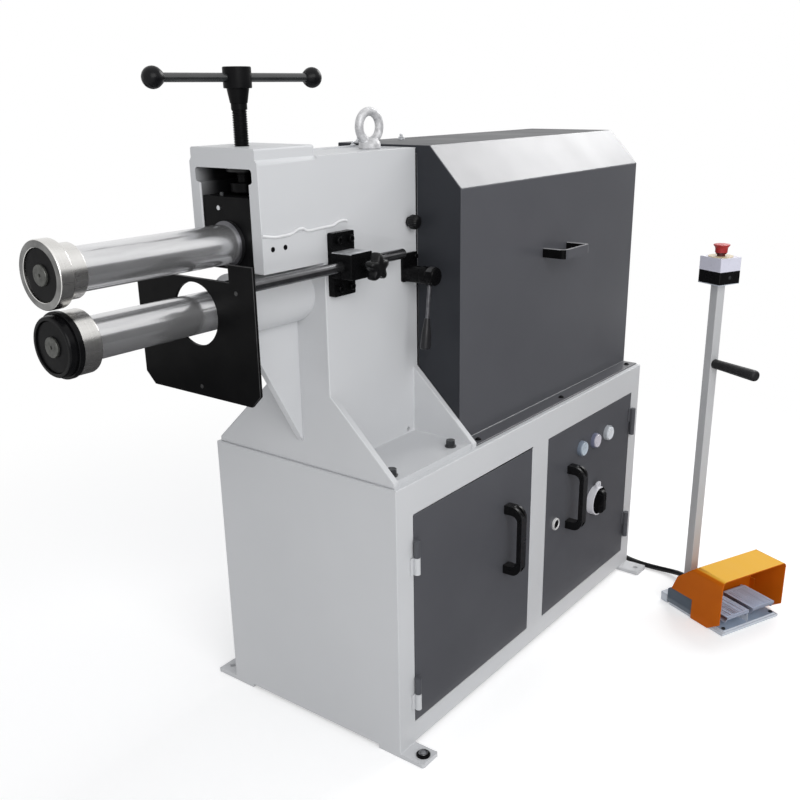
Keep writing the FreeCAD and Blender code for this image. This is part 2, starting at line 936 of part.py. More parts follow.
def column():
    """Two uprights, two webs and the base plate, welded in one."""
    outline = column_plate_outline()
    left = prism_x(outline, column_left, inner_left)
    right = prism_x(outline, inner_right, column_right)
    front_web = box(inner_left, inner_right, -web_reach, -wall_inner, cabinet_top, head_bottom)
    rear_web = box(inner_left, inner_right, wall_inner, web_reach, cabinet_top, head_bottom)
    base = box(inner_left, inner_right, -base_plate_reach, base_plate_reach, cabinet_top, base_plate_top)
    body = fused([left, right, front_web, rear_web, base])
    body = body.cut(cyl_x(housing_radius, column_left - 1, inner_left + 1, 0, lower_shaft_z))
    body = body.cut(cyl_x(bush_radius, inner_right - 1, column_right + 1, 0, lower_shaft_z))
    drain_x = inner_right - drain_edge
    return body.cut(cyl_y(drain_radius, -web_reach - 1, -wall_inner + 1, drain_x, base_plate_top + drain_rise))


def head():
    """Head box with its open end, screw boss, weld ridge and tapped holes."""
    shoulder = [(web_reach, head_bottom), (web_reach, head_top - boss_shoulder),
                (web_reach - boss_setback, head_top), (web_reach - boss_setback, boss_top - boss_bevel),
                (web_reach - boss_setback - boss_bevel, boss_top)]
    outline = [(-y, z) for y, z in shoulder] + list(reversed(shoulder))
    front_block = prism_x(outline, head_left, boss_right)
    rear_block = box(boss_right, column_right, -web_reach, web_reach, head_bottom, head_top)
    ridge = box(head_left, ridge_step_x, -web_reach - ridge_proud, 0, head_bottom, head_bottom + ridge_height)
    ridge_right = box(ridge_step_x, bracket_left - 1, -web_reach - ridge_proud, 0,
                      head_bottom, head_bottom + ridge_step_height)
    body = fused([front_block, rear_block, ridge, ridge_right])
    throat = box(head_left - 1, head_partition_x, -cheek_inner, cheek_inner, head_bottom - 1, end_opening_top)
    slot = box(head_left - 1, head_partition_x, -end_slot_half_width, end_slot_half_width,
               end_opening_top, end_slot_top)
    slot = rounded(slot, 6, lambda e: along(e, X))
    inside = box(head_partition_x, column_right + 1, -wall_inner, wall_inner, head_bottom - 1, end_slot_top)
    body = body.cut(throat).cut(slot).cut(inside)
    body = body.cut(box(boss_right + recess_edge_left, column_right - recess_edge_right,
                        -end_slot_half_width, end_slot_half_width, head_top - top_recess, head_top + 1))
    body = body.cut(cyl_z(nut_radius, end_slot_top - 1, boss_top + 1, screw_x, 0))
    body = body.cut(cyl_z(eye_shank_radius, end_slot_top - 1, head_top + 1, eye_x, 0))
    body = body.cut(cyl_y(pivot_pin_radius, -web_reach - 1, web_reach + 1, pivot_x, upper_shaft_z))
    for x in side_hole_x:
        body = body.cut(cyl_y(side_hole_radius, -web_reach - ridge_proud - 1, -web_reach + side_hole_depth,
                              x, side_hole_z))
    return body


def lower_housing():
    """Bearing tube of the lower shaft with the rib below it."""
    tube = tube_x(housing_radius, bush_radius, head_left + 1, inner_right, 0, lower_shaft_z)
    half = rib_thickness / 2
    rib = prism_y([(rib_left, lower_shaft_z), (rib_left, rib_edge_bottom), (rib_foot_x, rib_foot_z),
                   (column_left, rib_foot_z - rib_toe_drop), (column_left, lower_shaft_z)], -half, half)
    rib = rib.cut(cyl_x(housing_radius, head_left, inner_right, 0, lower_shaft_z))
    return fused([tube, rib])


def lower_bushes():
    """The two plain bushes of the lower shaft."""
    left = head_left + 1
    bore = shaft_radius + running_gap
    right = column_right - bush_recess
    return (tube_x(bush_radius, bore, left, left + lower_bush_length, 0, lower_shaft_z),
            tube_x(bush_radius, bore, right - lower_bush_length, right, 0, lower_shaft_z))


def upper_arm():
    """Bearing block with its tube and the two pivot bosses."""
    side = cheek_inner - arm_side_gap
    block = box(arm_block_left, arm_block_right, -side, side, arm_block_bottom, arm_block_top)
    block = block.makeChamfer(arm_block_chamfer, [e for e in block.Edges if along(e, X)])
    tube = cyl_x(arm_tube_radius, arm_block_right, arm_tube_right, 0, upper_shaft_z)
    boss_reach = wall_inner - moving_gap
    boss = cyl_y(pivot_boss_radius, -boss_reach, boss_reach, pivot_x, upper_shaft_z)
    screw_z = arm_block_top - arm_screw_drop
    screw = cyl_x(arm_screw_radius, arm_block_left - arm_screw_proud, arm_block_left + arm_screw_depth,
                  arm_screw_y, screw_z)
    body = fused([block, tube, boss, screw])
    body = body.cut(cyl_x(arm_bore_radius, arm_block_left - 1, arm_tube_right + 1, 0, upper_shaft_z))
    pin_hole = cyl_y(pivot_pin_radius + running_gap, -boss_reach - 1, boss_reach + 1, pivot_x, upper_shaft_z)
    return body.cut(pin_hole)


def upper_bushes():
    """The two plain bushes of the upper shaft, the front one with a visible end."""
    bore = shaft_radius + running_gap
    front = arm_block_left - bush_face_proud
    return (tube_x(arm_bore_radius, bore, front, front + upper_bush_length, 0, upper_shaft_z),
            tube_x(arm_bore_radius, bore, arm_tube_right - upper_bush_length, arm_tube_right, 0, upper_shaft_z))


def pivot_pins():
    """Pins through the head walls on which the upper arm tilts."""
    inner = arm_bore_radius + 2
    return (cyl_y(pivot_pin_radius, -web_reach, -inner, pivot_x, upper_shaft_z),
            cyl_y(pivot_pin_radius, inner, web_reach, pivot_x, upper_shaft_z))


def pivot_knob():
    """Round knob on the front pivot pin."""
    back = -web_reach - seat_gap
    front = back - pivot_knob_length
    knob = cyl_y(pivot_knob_radius, front, back - 3, pivot_x, upper_shaft_z)
    knob = rounded(knob, 4, lambda e: e.Length > 10 and e.CenterOfMass.y < front + 1)
    neck = cyl_y(pivot_pin_radius - 1, back - 4, back, pivot_x, upper_shaft_z)
    return fused([knob, neck])


def involute_gear(x, z, tooth_angle):
    """Spur gear along X with involute flanks thinned by the backlash."""
    pitch = gear_module * gear_teeth / 2
    base = pitch * math.cos(math.radians(20))
    tip = pitch + gear_module
    root = pitch - 1.25 * gear_module
    half_tooth = math.pi / (2 * gear_teeth) - gear_backlash / (2 * pitch)
    pressure = math.tan(math.radians(20)) - math.radians(20)

    def flank(radius):
        roll = math.acos(min(1, base / radius))
        return half_tooth + pressure - (math.tan(roll) - roll)

    radii = [max(base, root), pitch - gear_module / 2, pitch, pitch + gear_module / 2, tip]
    points = []
    for k in range(gear_teeth):
        middle = tooth_angle + 2 * math.pi * k / gear_teeth
        ring = [(root, -flank(radii[0]))] + [(r, -flank(r)) for r in radii]
        ring += [(r, flank(r)) for r in reversed(radii)] + [(root, flank(radii[0]))]
        points += [Vec(x, r * math.cos(middle + a), z + r * math.sin(middle + a)) for r, a in ring]
    return prism(points, Vec(gear_width, 0, 0))


def gear(z):
    """Drive gear with its hub on the left, bored for the shaft; both gears point a tooth up."""
    teeth = involute_gear(gear_left, z, math.pi / 2)
    hub = cyl_x(gear_hub_radius, gear_left - gear_hub_length, gear_left + 1, 0, z)
    return fused([teeth, hub]).cut(cyl_x(shaft_radius, gear_left - 99, gear_right + 1, 0, z))


def shaft(x_roll, x_nose, x_right, z):
    """Roll shaft with a smaller journal for the roll and a tapped end."""
    body = fused([cyl_x(shaft_radius, x_roll, x_right, 0, z), cyl_x(journal_radius, x_nose, x_roll + 1, 0, z)])
    return body.cut(cyl_x(shaft_tapping_radius, x_nose - 1, x_nose + shaft_tapping_depth, 0, z))


def roll(outline, left, z, recess_radius):
    """Turned roll part with a bore for the journal and a recess for the cap."""
    body = lathe(outline, Vec(left, 0, z), X, Z)
    body = body.cut(cyl_x(journal_radius, left - 1, left + 199, 0, z))
    return body.cut(cyl_x(recess_radius, left - 1, left + cap_recess, 0, z))


def cap(left, z, screw_radius, hollow):
    """Black disc in the roll's end with its centre screw."""
    disc_left = left + cap_recess - cap_disc_thickness
    disc = tube_x(cap_disc_radius - seat_gap, shaft_tapping_radius, disc_left, left + cap_recess, 0, z)
    screw_head = cyl_x(screw_radius, left - cap_screw_proud, disc_left, 0, z)
    shank = cyl_x(shaft_tapping_radius, disc_left - 1, left + cap_recess + shaft_tapping_depth - 5, 0, z)
    screw = fused([screw_head, shank])
    return disc, screw.cut(cyl_x(hollow, left - cap_screw_proud - 1, left, 0, z))


def upper_roll():
    """Steel roll with a broad flange and a narrower collar."""
    width = roll_flange_width
    edge = roll_edge
    outline = [(0, 0), (0, roll_flange_radius - edge), (edge, roll_flange_radius),
               (width - edge, roll_flange_radius), (width, roll_flange_radius - edge),
               (width, upper_collar_radius), (width + upper_collar_width, upper_collar_radius),
               (width + upper_collar_width, 0)]
    return roll(outline, upper_roll_left, upper_shaft_z, cap_disc_radius)


def lower_ring():
    """Black ring of the lower roll: nose, groove and flange."""
    nose = lower_ring_nose_width
    groove = lower_ring_groove
    width = nose + lower_ring_flange_width
    outline = [(0, 0), (0, lower_ring_nose_radius - roll_edge), (roll_edge, lower_ring_nose_radius),
               (nose - groove, lower_ring_nose_radius), (nose - groove, lower_ring_nose_radius - groove),
               (nose, lower_ring_nose_radius - groove), (nose, roll_flange_radius - 1),
               (nose + 1, roll_flange_radius), (width - 1, roll_flange_radius),
               (width, roll_flange_radius - 1), (width, 0)]
    return roll(outline, lower_ring_x, lower_shaft_z, cap_disc_radius)


def lower_collar():
    """Steel collar behind the black ring."""
    body = tube_x(lower_collar_radius, journal_radius, lower_collar_left, lower_roll_right, 0, lower_shaft_z)
    return body.makeChamfer(1.5, [e for e in body.Edges
                                  if abs(e.Length - 2 * math.pi * lower_collar_radius) < 1])


def pressure_pad():
    """Pad with a crowned underside between the screw and the bearing block."""
    bottom = arm_block_top + moving_gap
    pad = cyl_z(pad_radius, bottom, bottom + pad_height, screw_x, 0)
    crown = Part.makeSphere(pad_crown_radius, Vec(screw_x, 0, bottom + pad_crown_radius))
    pad = pad.common(crown)
    socket_bottom = bottom + pad_height - screw_nose_length
    return pad.cut(cyl_z(screw_nose_radius + running_gap, socket_bottom, bottom + pad_height + 1, screw_x, 0))


def pressure_screw():
    """Screw with its collar, cone and cross-bored hub."""
    pad_top = arm_block_top + moving_gap + pad_height
    nose_bottom = pad_top - screw_nose_length + seat_gap
    edge = screw_hub_edge
    outline = [(nose_bottom, 0), (nose_bottom, screw_nose_radius), (pad_top + seat_gap, screw_nose_radius),
               (pad_top + seat_gap, screw_radius), (screw_collar_z, screw_radius),
               (screw_collar_z, screw_collar_radius), (screw_cone_z, screw_collar_radius),
               (screw_cone_z, screw_cone_radius), (screw_hub_z, screw_cone_top_radius),
               (screw_hub_z, screw_hub_radius - edge), (screw_hub_z + edge, screw_hub_radius),
               (screw_hub_top - edge, screw_hub_radius), (screw_hub_top, screw_hub_radius - edge),
               (screw_hub_top, 0)]
    body = lathe(outline, Vec(screw_x, 0, 0), Z, X)
    return body.cut(tommy_cylinder(screw_hub_radius + 5))


def tommy_direction():
    """Direction of the tommy bar at rest."""
    turn = math.radians(tommy_bar_angle)
    return Vec(math.cos(turn), math.sin(turn), 0)


def tommy_cylinder(reach):
    """The bar's cylinder, centred on the hub, with its reach to either side."""
    direction = tommy_direction()
    centre = Vec(screw_x, 0, (screw_hub_z + screw_hub_top) / 2)
    return Part.makeCylinder(tommy_bar_radius, 2 * reach, centre - direction * reach, direction)


def tommy_bar():
    """Bar through the hub and its two ball ends."""
    centre = Vec(screw_x, 0, (screw_hub_z + screw_hub_top) / 2)
    bar = tommy_cylinder(tommy_bar_half_length)
    solids = [bar]
    for side in (-1, 1):
        ball_centre = centre + tommy_direction() * (side * tommy_bar_half_length)
        ball = Part.makeSphere(tommy_ball_radius, ball_centre)
        solids.append(ball.cut(tommy_cylinder(tommy_bar_half_length)))
    return solids


def screw_nut():
    """Flanged nut of the pressure screw, in the boss."""
    flange_bottom = end_slot_top - nut_flange_thickness
    body = fused([cyl_z(nut_radius, flange_bottom, boss_top, screw_x, 0),
                  cyl_z(nut_flange_radius, flange_bottom, end_slot_top, screw_x, 0)])
    return body.cut(cyl_z(screw_radius + running_gap, flange_bottom - 1, boss_top + 1, screw_x, 0))


def eye_bolt():
    """Lifting eye with its ring in the X-Z plane."""
    seat = head_top - top_recess
    ring_z = seat + eye_collar_height + eye_ring_radius + eye_wire_radius - 2
    ring = Part.makeTorus(eye_ring_radius, eye_wire_radius, Vec(eye_x, 0, ring_z), Y)
    collar_top_radius = eye_collar_radius - eye_collar_taper
    collar = Part.makeCone(eye_collar_radius, collar_top_radius, eye_collar_height, Vec(eye_x, 0, seat), Z)
    shank = cyl_z(eye_shank_radius, seat - eye_shank_length, seat + 1, eye_x, 0)
    return fused([ring, collar, shank])


def machine_bolts():
    """Hexagon bolts of the column foot, socket screws of the bracket, hood screws."""
    solids = []
    for x in base_bolt_x:
        for y in (-base_bolt_y, base_bolt_y):
            washer = cyl_z(base_bolt_size * 0.68, base_plate_top, base_plate_top + 3, x, y)
            bolt = hex_head(base_bolt_size, 12, Vec(x, y, base_plate_top + 3), Z)
            solids.append(fused([washer, bolt]))
    for x in bracket_screw_x:
        for z in bracket_screw_z:
            front = clamp_rear_y - bracket_screw_height
            screw = cyl_y(bracket_screw_radius, front, clamp_rear_y, x, z)
            socket = hex_head(bracket_screw_radius - 1, bracket_screw_height / 2, Vec(x, front, z), Y)
            solids.append(screw.cut(socket))
    for x in hood_screw_x:
        seat = cabinet_top + hood_flange_thickness
        solids.append(Part.makeCone(hood_screw_radius, hood_screw_radius - 2, hood_screw_height,
                                    Vec(x, hood_screw_y, seat), Z))
    for x in hood_top_bolt_x:
        solids.append(hex_head(hood_top_bolt_size, hood_top_bolt_height, Vec(x, hood_top_bolt_y, hood_top), Z))
    return solids


def hood_outline(inset):
    """(y, z) outline of the hood with the front chamfer, drawn in by a sheet thickness."""
    slope = hood_chamfer_z / hood_chamfer_y
    shift = inset * (math.sqrt(1 + slope * slope) - 1) / slope
    drop = inset * (math.sqrt(1 + slope * slope) - slope)
    low_z = hood_top - hood_chamfer_z
    high_y = hood_front + hood_chamfer_y
    return [(hood_front + inset, cabinet_top - (1 if inset else 0)), (hood_front + inset, low_z - drop),
            (high_y + shift, hood_top - inset), (hood_rear - inset, hood_top - inset),
            (hood_rear - inset, cabinet_top - (1 if inset else 0))]


def hood():
    """Sheet hood with its left end cut out round the column and a screwed front flange."""
    outer = prism_x(hood_outline(0), column_right, hood_right)
    inner = prism_x(hood_outline(hood_sheet), column_right + hood_sheet, hood_right - hood_sheet)
    flange = box(column_right, hood_right, hood_front - hood_flange, hood_front + 1,
                 cabinet_top, cabinet_top + hood_flange_thickness)
    flange = flange.cut(box(hood_right - hood_overhang, hood_right + 1, hood_front - hood_flange - 1, hood_front,
                            cabinet_top - 1, cabinet_top + 9))
    body = fused([outer.cut(inner), flange])
    half = hood_cutout_half_width
    cutout = box(column_right - 1, column_right + hood_sheet + 1, -half, half,
                 cabinet_top - 1, head_top - hood_cutout_drop)
    return body.cut(cutout)


def hood_handle():
    """Flat bar bent to a U on the hood front."""
    x0 = hood_handle_x - hood_handle_length / 2
    x1 = hood_handle_x + hood_handle_length / 2
    y0 = hood_front - hood_handle_reach
    z0 = hood_handle_z - hood_handle_height / 2
    z1 = hood_handle_z + hood_handle_height / 2
    bar = hood_handle_bar
    body = box(x0, x1, y0, hood_front, z0, z1)
    body = rounded(body, bar + hood_handle_corner, lambda e: along(e, Z) and e.CenterOfMass.y < y0 + 1)
    gap = box(x0 + bar, x1 - bar, y0 + bar, hood_front + 1, z0 - 1, z1 + 1)
    gap = rounded(gap, hood_handle_corner, lambda e: along(e, Z) and e.CenterOfMass.y < y0 + bar + 1)
    return body.cut(gap)


def gauge_plate():
    """Stop plate with a round hole for the lower shaft, a tab and two chamfered corners."""
    c = gauge_chamfer
    outline = [(gauge_front_y, gauge_bottom + c), (gauge_front_y + c, gauge_bottom),
               (gauge_rear_y - c, gauge_bottom), (gauge_rear_y, gauge_bottom + c),
               (gauge_rear_y, gauge_top), (gauge_front_y + gauge_tab_width, gauge_top),
               (gauge_front_y + gauge_tab_width, gauge_tab_top), (gauge_front_y, gauge_tab_top)]
    plate = prism_x(outline, gauge_front_x, gauge_front_x + gauge_thickness)
    plate = plate.cut(cyl_x(gauge_hole_radius, gauge_front_x - 1, rod_left + 1, 0, lower_shaft_z))
    tab_hole = (gauge_front_y + gauge_tab_width - 16, gauge_top - 17)
    edge_hole = (0, gauge_bottom + 17)
    for y, z in (tab_hole, edge_hole):
        plate = plate.cut(cyl_x(gauge_pin_radius, gauge_front_x - 1, gauge_front_x + 1, y, z))
    return plate


def gauge_bracket():
    """Plate screwed to the column that carries the clamp block."""
    plate = box(bracket_left, bracket_right, clamp_rear_y, -web_reach, bracket_bottom, bracket_top)
    return rounded(plate, 3, lambda e: along(e, Y))


def clamp_block():
    """Block bored for the rod and the stud of the star knob."""
    block = box(clamp_left, clamp_right, clamp_front_y, clamp_rear_y, clamp_bottom, clamp_top)
    block = rounded(block, 3, lambda e: along(e, Y))
    block = block.cut(cyl_x(rod_radius + running_gap, clamp_left - 1, clamp_right + 1, rod_y, rod_z))
    return block.cut(cyl_y(stud_radius + running_gap, clamp_front_y - 1, rod_y, star_x, rod_z))


def star_knob():
    """Five-lobed knob with its stud."""
    back = clamp_front_y - star_neck
    front = back - star_thickness
    reach = star_radius - star_lobe_radius
    core = cyl_y(reach, front, back, star_x, rod_z)
    lobes = []
    for k in range(star_lobe_count):
        turn = math.radians(90 + 360 * k / star_lobe_count)
        lobes.append(cyl_y(star_lobe_radius, front + star_lobe_step, back - star_lobe_step,
                           star_x + reach * math.cos(turn), rod_z + reach * math.sin(turn)))
    neck = cyl_y(star_neck_radius, back - 1, clamp_front_y - seat_gap, star_x, rod_z)
    stud = cyl_y(stud_radius, back - 1, rod_y - rod_radius - seat_gap, star_x, rod_z)
    return fused([core, neck, stud] + lobes)


def lever_base():
    """Flange on the column with the fixed part of the lever's hub."""
    front = -web_reach - lever_flange_thickness
    flange = box(lever_x - lever_flange_before, lever_x + lever_flange_behind, front, -web_reach,
                 lever_z - lever_flange_below, lever_z + lever_flange_above)
    flange = rounded(flange, 4, lambda e: along(e, Y))
    hub = cyl_y(lever_hub_radius - lever_fixed_step, front - lever_fixed_length, front + 1, lever_x, lever_z)
    return fused([flange, hub])


def shift_lever():
    """Turning hub with a steel rod, and its tapered grip."""
    back = -web_reach - lever_flange_thickness - lever_fixed_length - seat_gap
    front = back - lever_turning_length
    hub = cyl_y(lever_hub_radius, front, back, lever_x, lever_z)
    hub = rounded(hub, 3, lambda e: e.Length > 10 and e.CenterOfMass.y < front + 1)
    middle = Vec(lever_x, (front + back) / 2, lever_z)
    turn = math.radians(lever_lean)
    down = Vec(-math.sin(turn), 0, -math.cos(turn))
    rod = Part.makeCylinder(lever_rod_radius, lever_rod_end, middle, down)
    tip_centre = middle + down * (lever_grip_end - lever_grip_radius)
    tip = Part.makeSphere(lever_grip_radius, tip_centre)
    keep = Part.makeCylinder(2 * lever_grip_radius, 2 * lever_grip_radius, tip_centre, down)
    length = lever_grip_end - lever_rod_end - lever_grip_radius
    body = Part.makeCone(lever_grip_neck, lever_grip_radius, length, middle + down * lever_rod_end, down)
    grip = fused([body, tip.common(keep)])
    return fused([hub, rod]), grip


def gearbox():
    """Coaxial gearbox with a hollow output that takes the lower shaft."""
    z = lower_shaft_z
    body = cyl_x(gearbox_radius, gearbox_left, gearbox_right, 0, z)
    flange = cyl_x(gearbox_flange_radius, gearbox_left, gearbox_left + gearbox_flange_thickness, 0, z)
    middle = (gearbox_left + gearbox_right) / 2
    band = cyl_x(gearbox_radius + gearbox_band_proud, middle - gearbox_band_width / 2,
                 middle + gearbox_band_width / 2, 0, z)
    body = fused([body, flange, band])
    return body.cut(cyl_x(shaft_radius + running_gap, gearbox_left - 1, lower_shaft_right + 1, 0, z))


def motor():
    """Finned motor, its fan cowl and its terminal box."""
    z = lower_shaft_z
    barrel = cyl_x(motor_radius, gearbox_right, motor_right, 0, z)
    fins = []
    for k in range(motor_fin_count):
        fin = box(gearbox_right + 25, motor_right - 15, -motor_fin_thickness / 2, motor_fin_thickness / 2,
                  z + motor_radius - 2, z + motor_radius + motor_fin_height)
        fins.append(fin.rotate(Vec(0, 0, z), X, 360 * (k + 0.5) / motor_fin_count))
    box_bottom_z = z + motor_radius + motor_fin_height - 14
    half = terminal_box_width / 2
    seat = box(gearbox_right + 40, gearbox_right + 40 + terminal_box_length, -half, half,
               box_bottom_z, box_bottom_z + terminal_box_height)
    barrel = fused([barrel] + fins)
    terminal = seat.cut(barrel)
    cowl_right = motor_right + cowl_length
    cowl = cyl_x(motor_radius + motor_fin_height, motor_right, cowl_right, 0, z)
    cowl = rounded(cowl, cowl_corner, lambda e: e.Length > 10 and e.CenterOfMass.x > cowl_right - 1)
    return barrel, cowl, terminal


def drive_stand():
    """Welded stand: base, upright plate for the gearbox flange, two gussets."""
    half = stand_half_width
    plate_right = gearbox_left
    plate_left = plate_right - stand_plate
    base = box(stand_base_left, stand_base_right, -half, half, cabinet_top, cabinet_top + stand_plate)
    upright = box(plate_left, plate_right, -half, half, cabinet_top, lower_shaft_z + gearbox_flange_radius)
    gussets = []
    for side in (-1, 1):
        inner = side * (half - stand_gusset)
        outer = side * half
        gussets.append(prism_y([(plate_right, cabinet_top), (stand_base_right, cabinet_top),
                                (stand_base_right, cabinet_top + stand_plate + 20),
                                (plate_right, lower_shaft_z - 90)], min(inner, outer), max(inner, outer)))
    body = fused([base, upright] + gussets)
    return body.cut(cyl_x(gearbox_radius - 25, plate_left - 1, plate_right + 1, 0, lower_shaft_z))


def pedal_base():
    """Station plate, tray with its brackets and centre divider, and the pedal axle."""
    plate = prism_z([(0, 0), (station_width, 0), (station_width, station_length),
                     (station_corner, station_length), (0, station_length - station_corner)], 0, station_plate)
    tray_top = station_plate + tray_thickness
    tray = box(tray_margin, station_width - tray_margin, tray_front, tray_length, station_plate, tray_top)
    brackets = []
    middle_u = (pedal_starts[0] + pedal_width + pedal_starts[1]) / 2
    bracket_u = (pedal_starts[0] - pedal_bracket_gap - pedal_bracket, middle_u - pedal_bracket / 2,
                 pedal_starts[1] + pedal_width + pedal_bracket_gap)
    reach = pedal_bracket_reach
    for u in bracket_u:
        brackets.append(box(u, u + pedal_bracket, pedal_axle_v - reach, pedal_axle_v + reach, tray_top - 1,
                            pedal_axle_z + reach))
    divider = box(middle_u - pedal_divider / 2, middle_u + pedal_divider / 2, pedal_front + pedal_divider_front,
                  pedal_axle_v, tray_top - 1, pedal_top - pedal_plate)
    body = fused([plate, tray, divider] + brackets)
    axle = cyl_x(pedal_axle_radius, bracket_u[0], bracket_u[2] + pedal_bracket, pedal_axle_v, pedal_axle_z)
    return station(body.cut(axle)), station(axle)


def pedal_housing():
    """Closed switch housing behind the pedals, notched round the post."""
    left = guard_left + guard_wall
    right = guard_right - guard_wall
    body = prism_x([(housing_front, station_plate), (housing_rear, station_plate),
                    (housing_rear, housing_top - housing_bevel_z), (housing_rear - housing_bevel_v, housing_top),
                    (housing_front, housing_top)], left, right)
    half = post_size / 2 + post_notch_gap
    notch = box(post_u - half, post_u + half, post_v - half, housing_rear + 1, 0, housing_top + 1)
    return station(body.cut(notch))


def pedal_guard():
    """Sheet guard over the pedals: two sides, top and sloping back."""
    wall = guard_wall
    outline = [(guard_front, guard_nose_z), (guard_nose_v, guard_floor_gap), (guard_side_v, guard_floor_gap),
               (guard_side_v, housing_top), (guard_heel_v, housing_top), (guard_knee_v, guard_knee_z),
               (guard_ridge_v, guard_top), (guard_front, guard_top)]
    body = prism_x(outline, guard_left, guard_right)
    body = rounded(body, guard_corner, lambda e: along(e, Y) and e.CenterOfMass.z > guard_top - 1
                   and min(abs(e.CenterOfMass.x - u) for u in (guard_left, guard_right)) < 1)
    inner_top = guard_top - wall
    inner = [(guard_front - 1, -5), (guard_front - 1, inner_top), (guard_ridge_v - wall / 3, inner_top),
             (guard_knee_v - 0.8 * wall, guard_knee_z - 2 * wall / 3), (guard_heel_v - wall, housing_top),
             (guard_heel_v - wall, -5)]
    hollow = prism_x(inner, guard_left + wall, guard_right - wall)
    hollow = rounded(hollow, guard_corner - wall, lambda e: along(e, Y) and e.CenterOfMass.z > inner_top - 1)
    return station(body.cut(hollow))


def pedal(start):
    """Ribbed pedal plate with side edges and the hub round the axle."""
    end = start + pedal_width
    rear = pedal_axle_v - pedal_hub_radius + 3
    plate = box(start, end, pedal_front, rear, pedal_top - pedal_plate, pedal_top)
    sides = [box(u, u + pedal_side_thickness, pedal_front, rear, pedal_top - pedal_side, pedal_top)
             for u in (start, end - pedal_side_thickness)]
    hub = cyl_x(pedal_hub_radius, start, end, pedal_axle_v, pedal_axle_z)
    web = box(start, end, rear - pedal_plate, pedal_axle_v, pedal_axle_z, pedal_top - 1)
    body = fused([plate, hub, web] + sides)
    margin = pedal_rib_margin
    pitch = (pedal_width - 2 * margin) / pedal_rib_count
    for k in range(pedal_rib_count):
        u = start + margin + (k + 0.25) * pitch
        body = body.cut(box(u, u + pitch / 2, pedal_front + margin, rear - margin,
                            pedal_top - pedal_rib_height, pedal_top + 1))
    bore = cyl_x(pedal_axle_radius + running_gap, start - 1, end + 1, pedal_axle_v, pedal_axle_z)
    return station(body.cut(bore))


def stop_post():
    """Square tube that stands on the station plate and carries the stop box."""
    half = post_size / 2
    post = box(post_u - half, post_u + half, post_v - half, post_v + half, station_plate, box_bottom)
    post = rounded(post, post_corner, lambda e: along(e, Z))
    inside = half - post_wall
    return station(post.cut(box(post_u - inside, post_u + inside, post_v - inside, post_v + inside,
                                station_plate - 1, box_bottom + 1)))


def post_grip():
    """Tapered hand grip on the front of the post."""
    face = post_v - post_size / 2
    grip = Part.makeCone(grip_radius, grip_end_radius, grip_length, Vec(post_u, face, grip_z), Vec(0, -1, 0))
    tip = face - grip_length
    return station(rounded(grip, grip_round, lambda e: e.Length > 10 and e.CenterOfMass.y < tip + 1))


def stop_box(z0, z1):
    """One half of the stop box."""
    body = box(post_u - box_width / 2, post_u + box_width / 2, post_v - box_length / 2, post_v + box_length / 2,
               z0, z1)
    return rounded(body, box_corner, lambda e: along(e, Z))


def stop_box_base():
    """Lower half of the stop box with its knock-out."""
    body = stop_box(box_bottom, box_split)
    front = post_v - box_length / 2
    knock_out = cyl_y(knock_out_radius, front - 1, front + 1, post_u, (box_bottom + box_split) / 2)
    half_u, half_v = box_width / 2 - box_wall, box_length / 2 - box_wall
    inside = box(post_u - half_u, post_u + half_u, post_v - half_v, post_v + half_v,
                 box_bottom + box_floor, box_split + 1)
    return station(body.cut(knock_out).cut(inside))


def stop_box_lid():
    """Upper half of the stop box and its disc, bored for the stop button."""
    body = stop_box(box_split, box_top)
    disc = cyl_z(disc_radius, box_top, box_top + disc_thickness, post_u, post_v)
    bore = cyl_z(stop_stem_radius + running_gap, box_split - 1, box_top + 9, post_u, post_v)
    return station(body.cut(bore)), station(disc.cut(bore))


def stop_button():
    """Mushroom button with its neck and stem."""
    base = box_top + disc_thickness + stop_travel + 1
    neck_top = base + stop_neck_height
    body_top = neck_top + stop_body_height
    rim_top = body_top + stop_rim_height
    cap_top = rim_top + stop_cap_height
    outline = [(box_split + 2, 0), (box_split + 2, stop_stem_radius), (base, stop_stem_radius),
               (base, stop_neck_radius), (neck_top, stop_neck_radius), (neck_top, stop_body_radius),
               (body_top, stop_body_radius), (rim_top, stop_rim_radius), (rim_top + 1, stop_rim_radius),
               (cap_top, stop_rim_radius - stop_cap_edge), (cap_top, 0)]
    return station(lathe(outline, Vec(post_u, post_v, 0), Z, X))


def cable_route():
    """Hand-chosen route from the cabinet's gland to the pedal station's gland."""
    return [Vec(half_length + gland_length, gland_y, gland_z), Vec(598, gland_y, gland_z),
            Vec(638, 133, 37), Vec(668, 102, 28), Vec(685, 61, 16), Vec(684, 12, 9), Vec(671, -39, 7.5),
            Vec(649, -89, 7.5), Vec(621, -137, 7.5), Vec(591, -184, 7.5), Vec(569, -236, 7.5),
            Vec(558, -290, 7.5), Vec(559, -342, 8), Vec(558, -382, 11), Vec(546, -413, 18),
            station_point(station_gland_u, housing_rear + gland_length + 32, station_gland_z)]


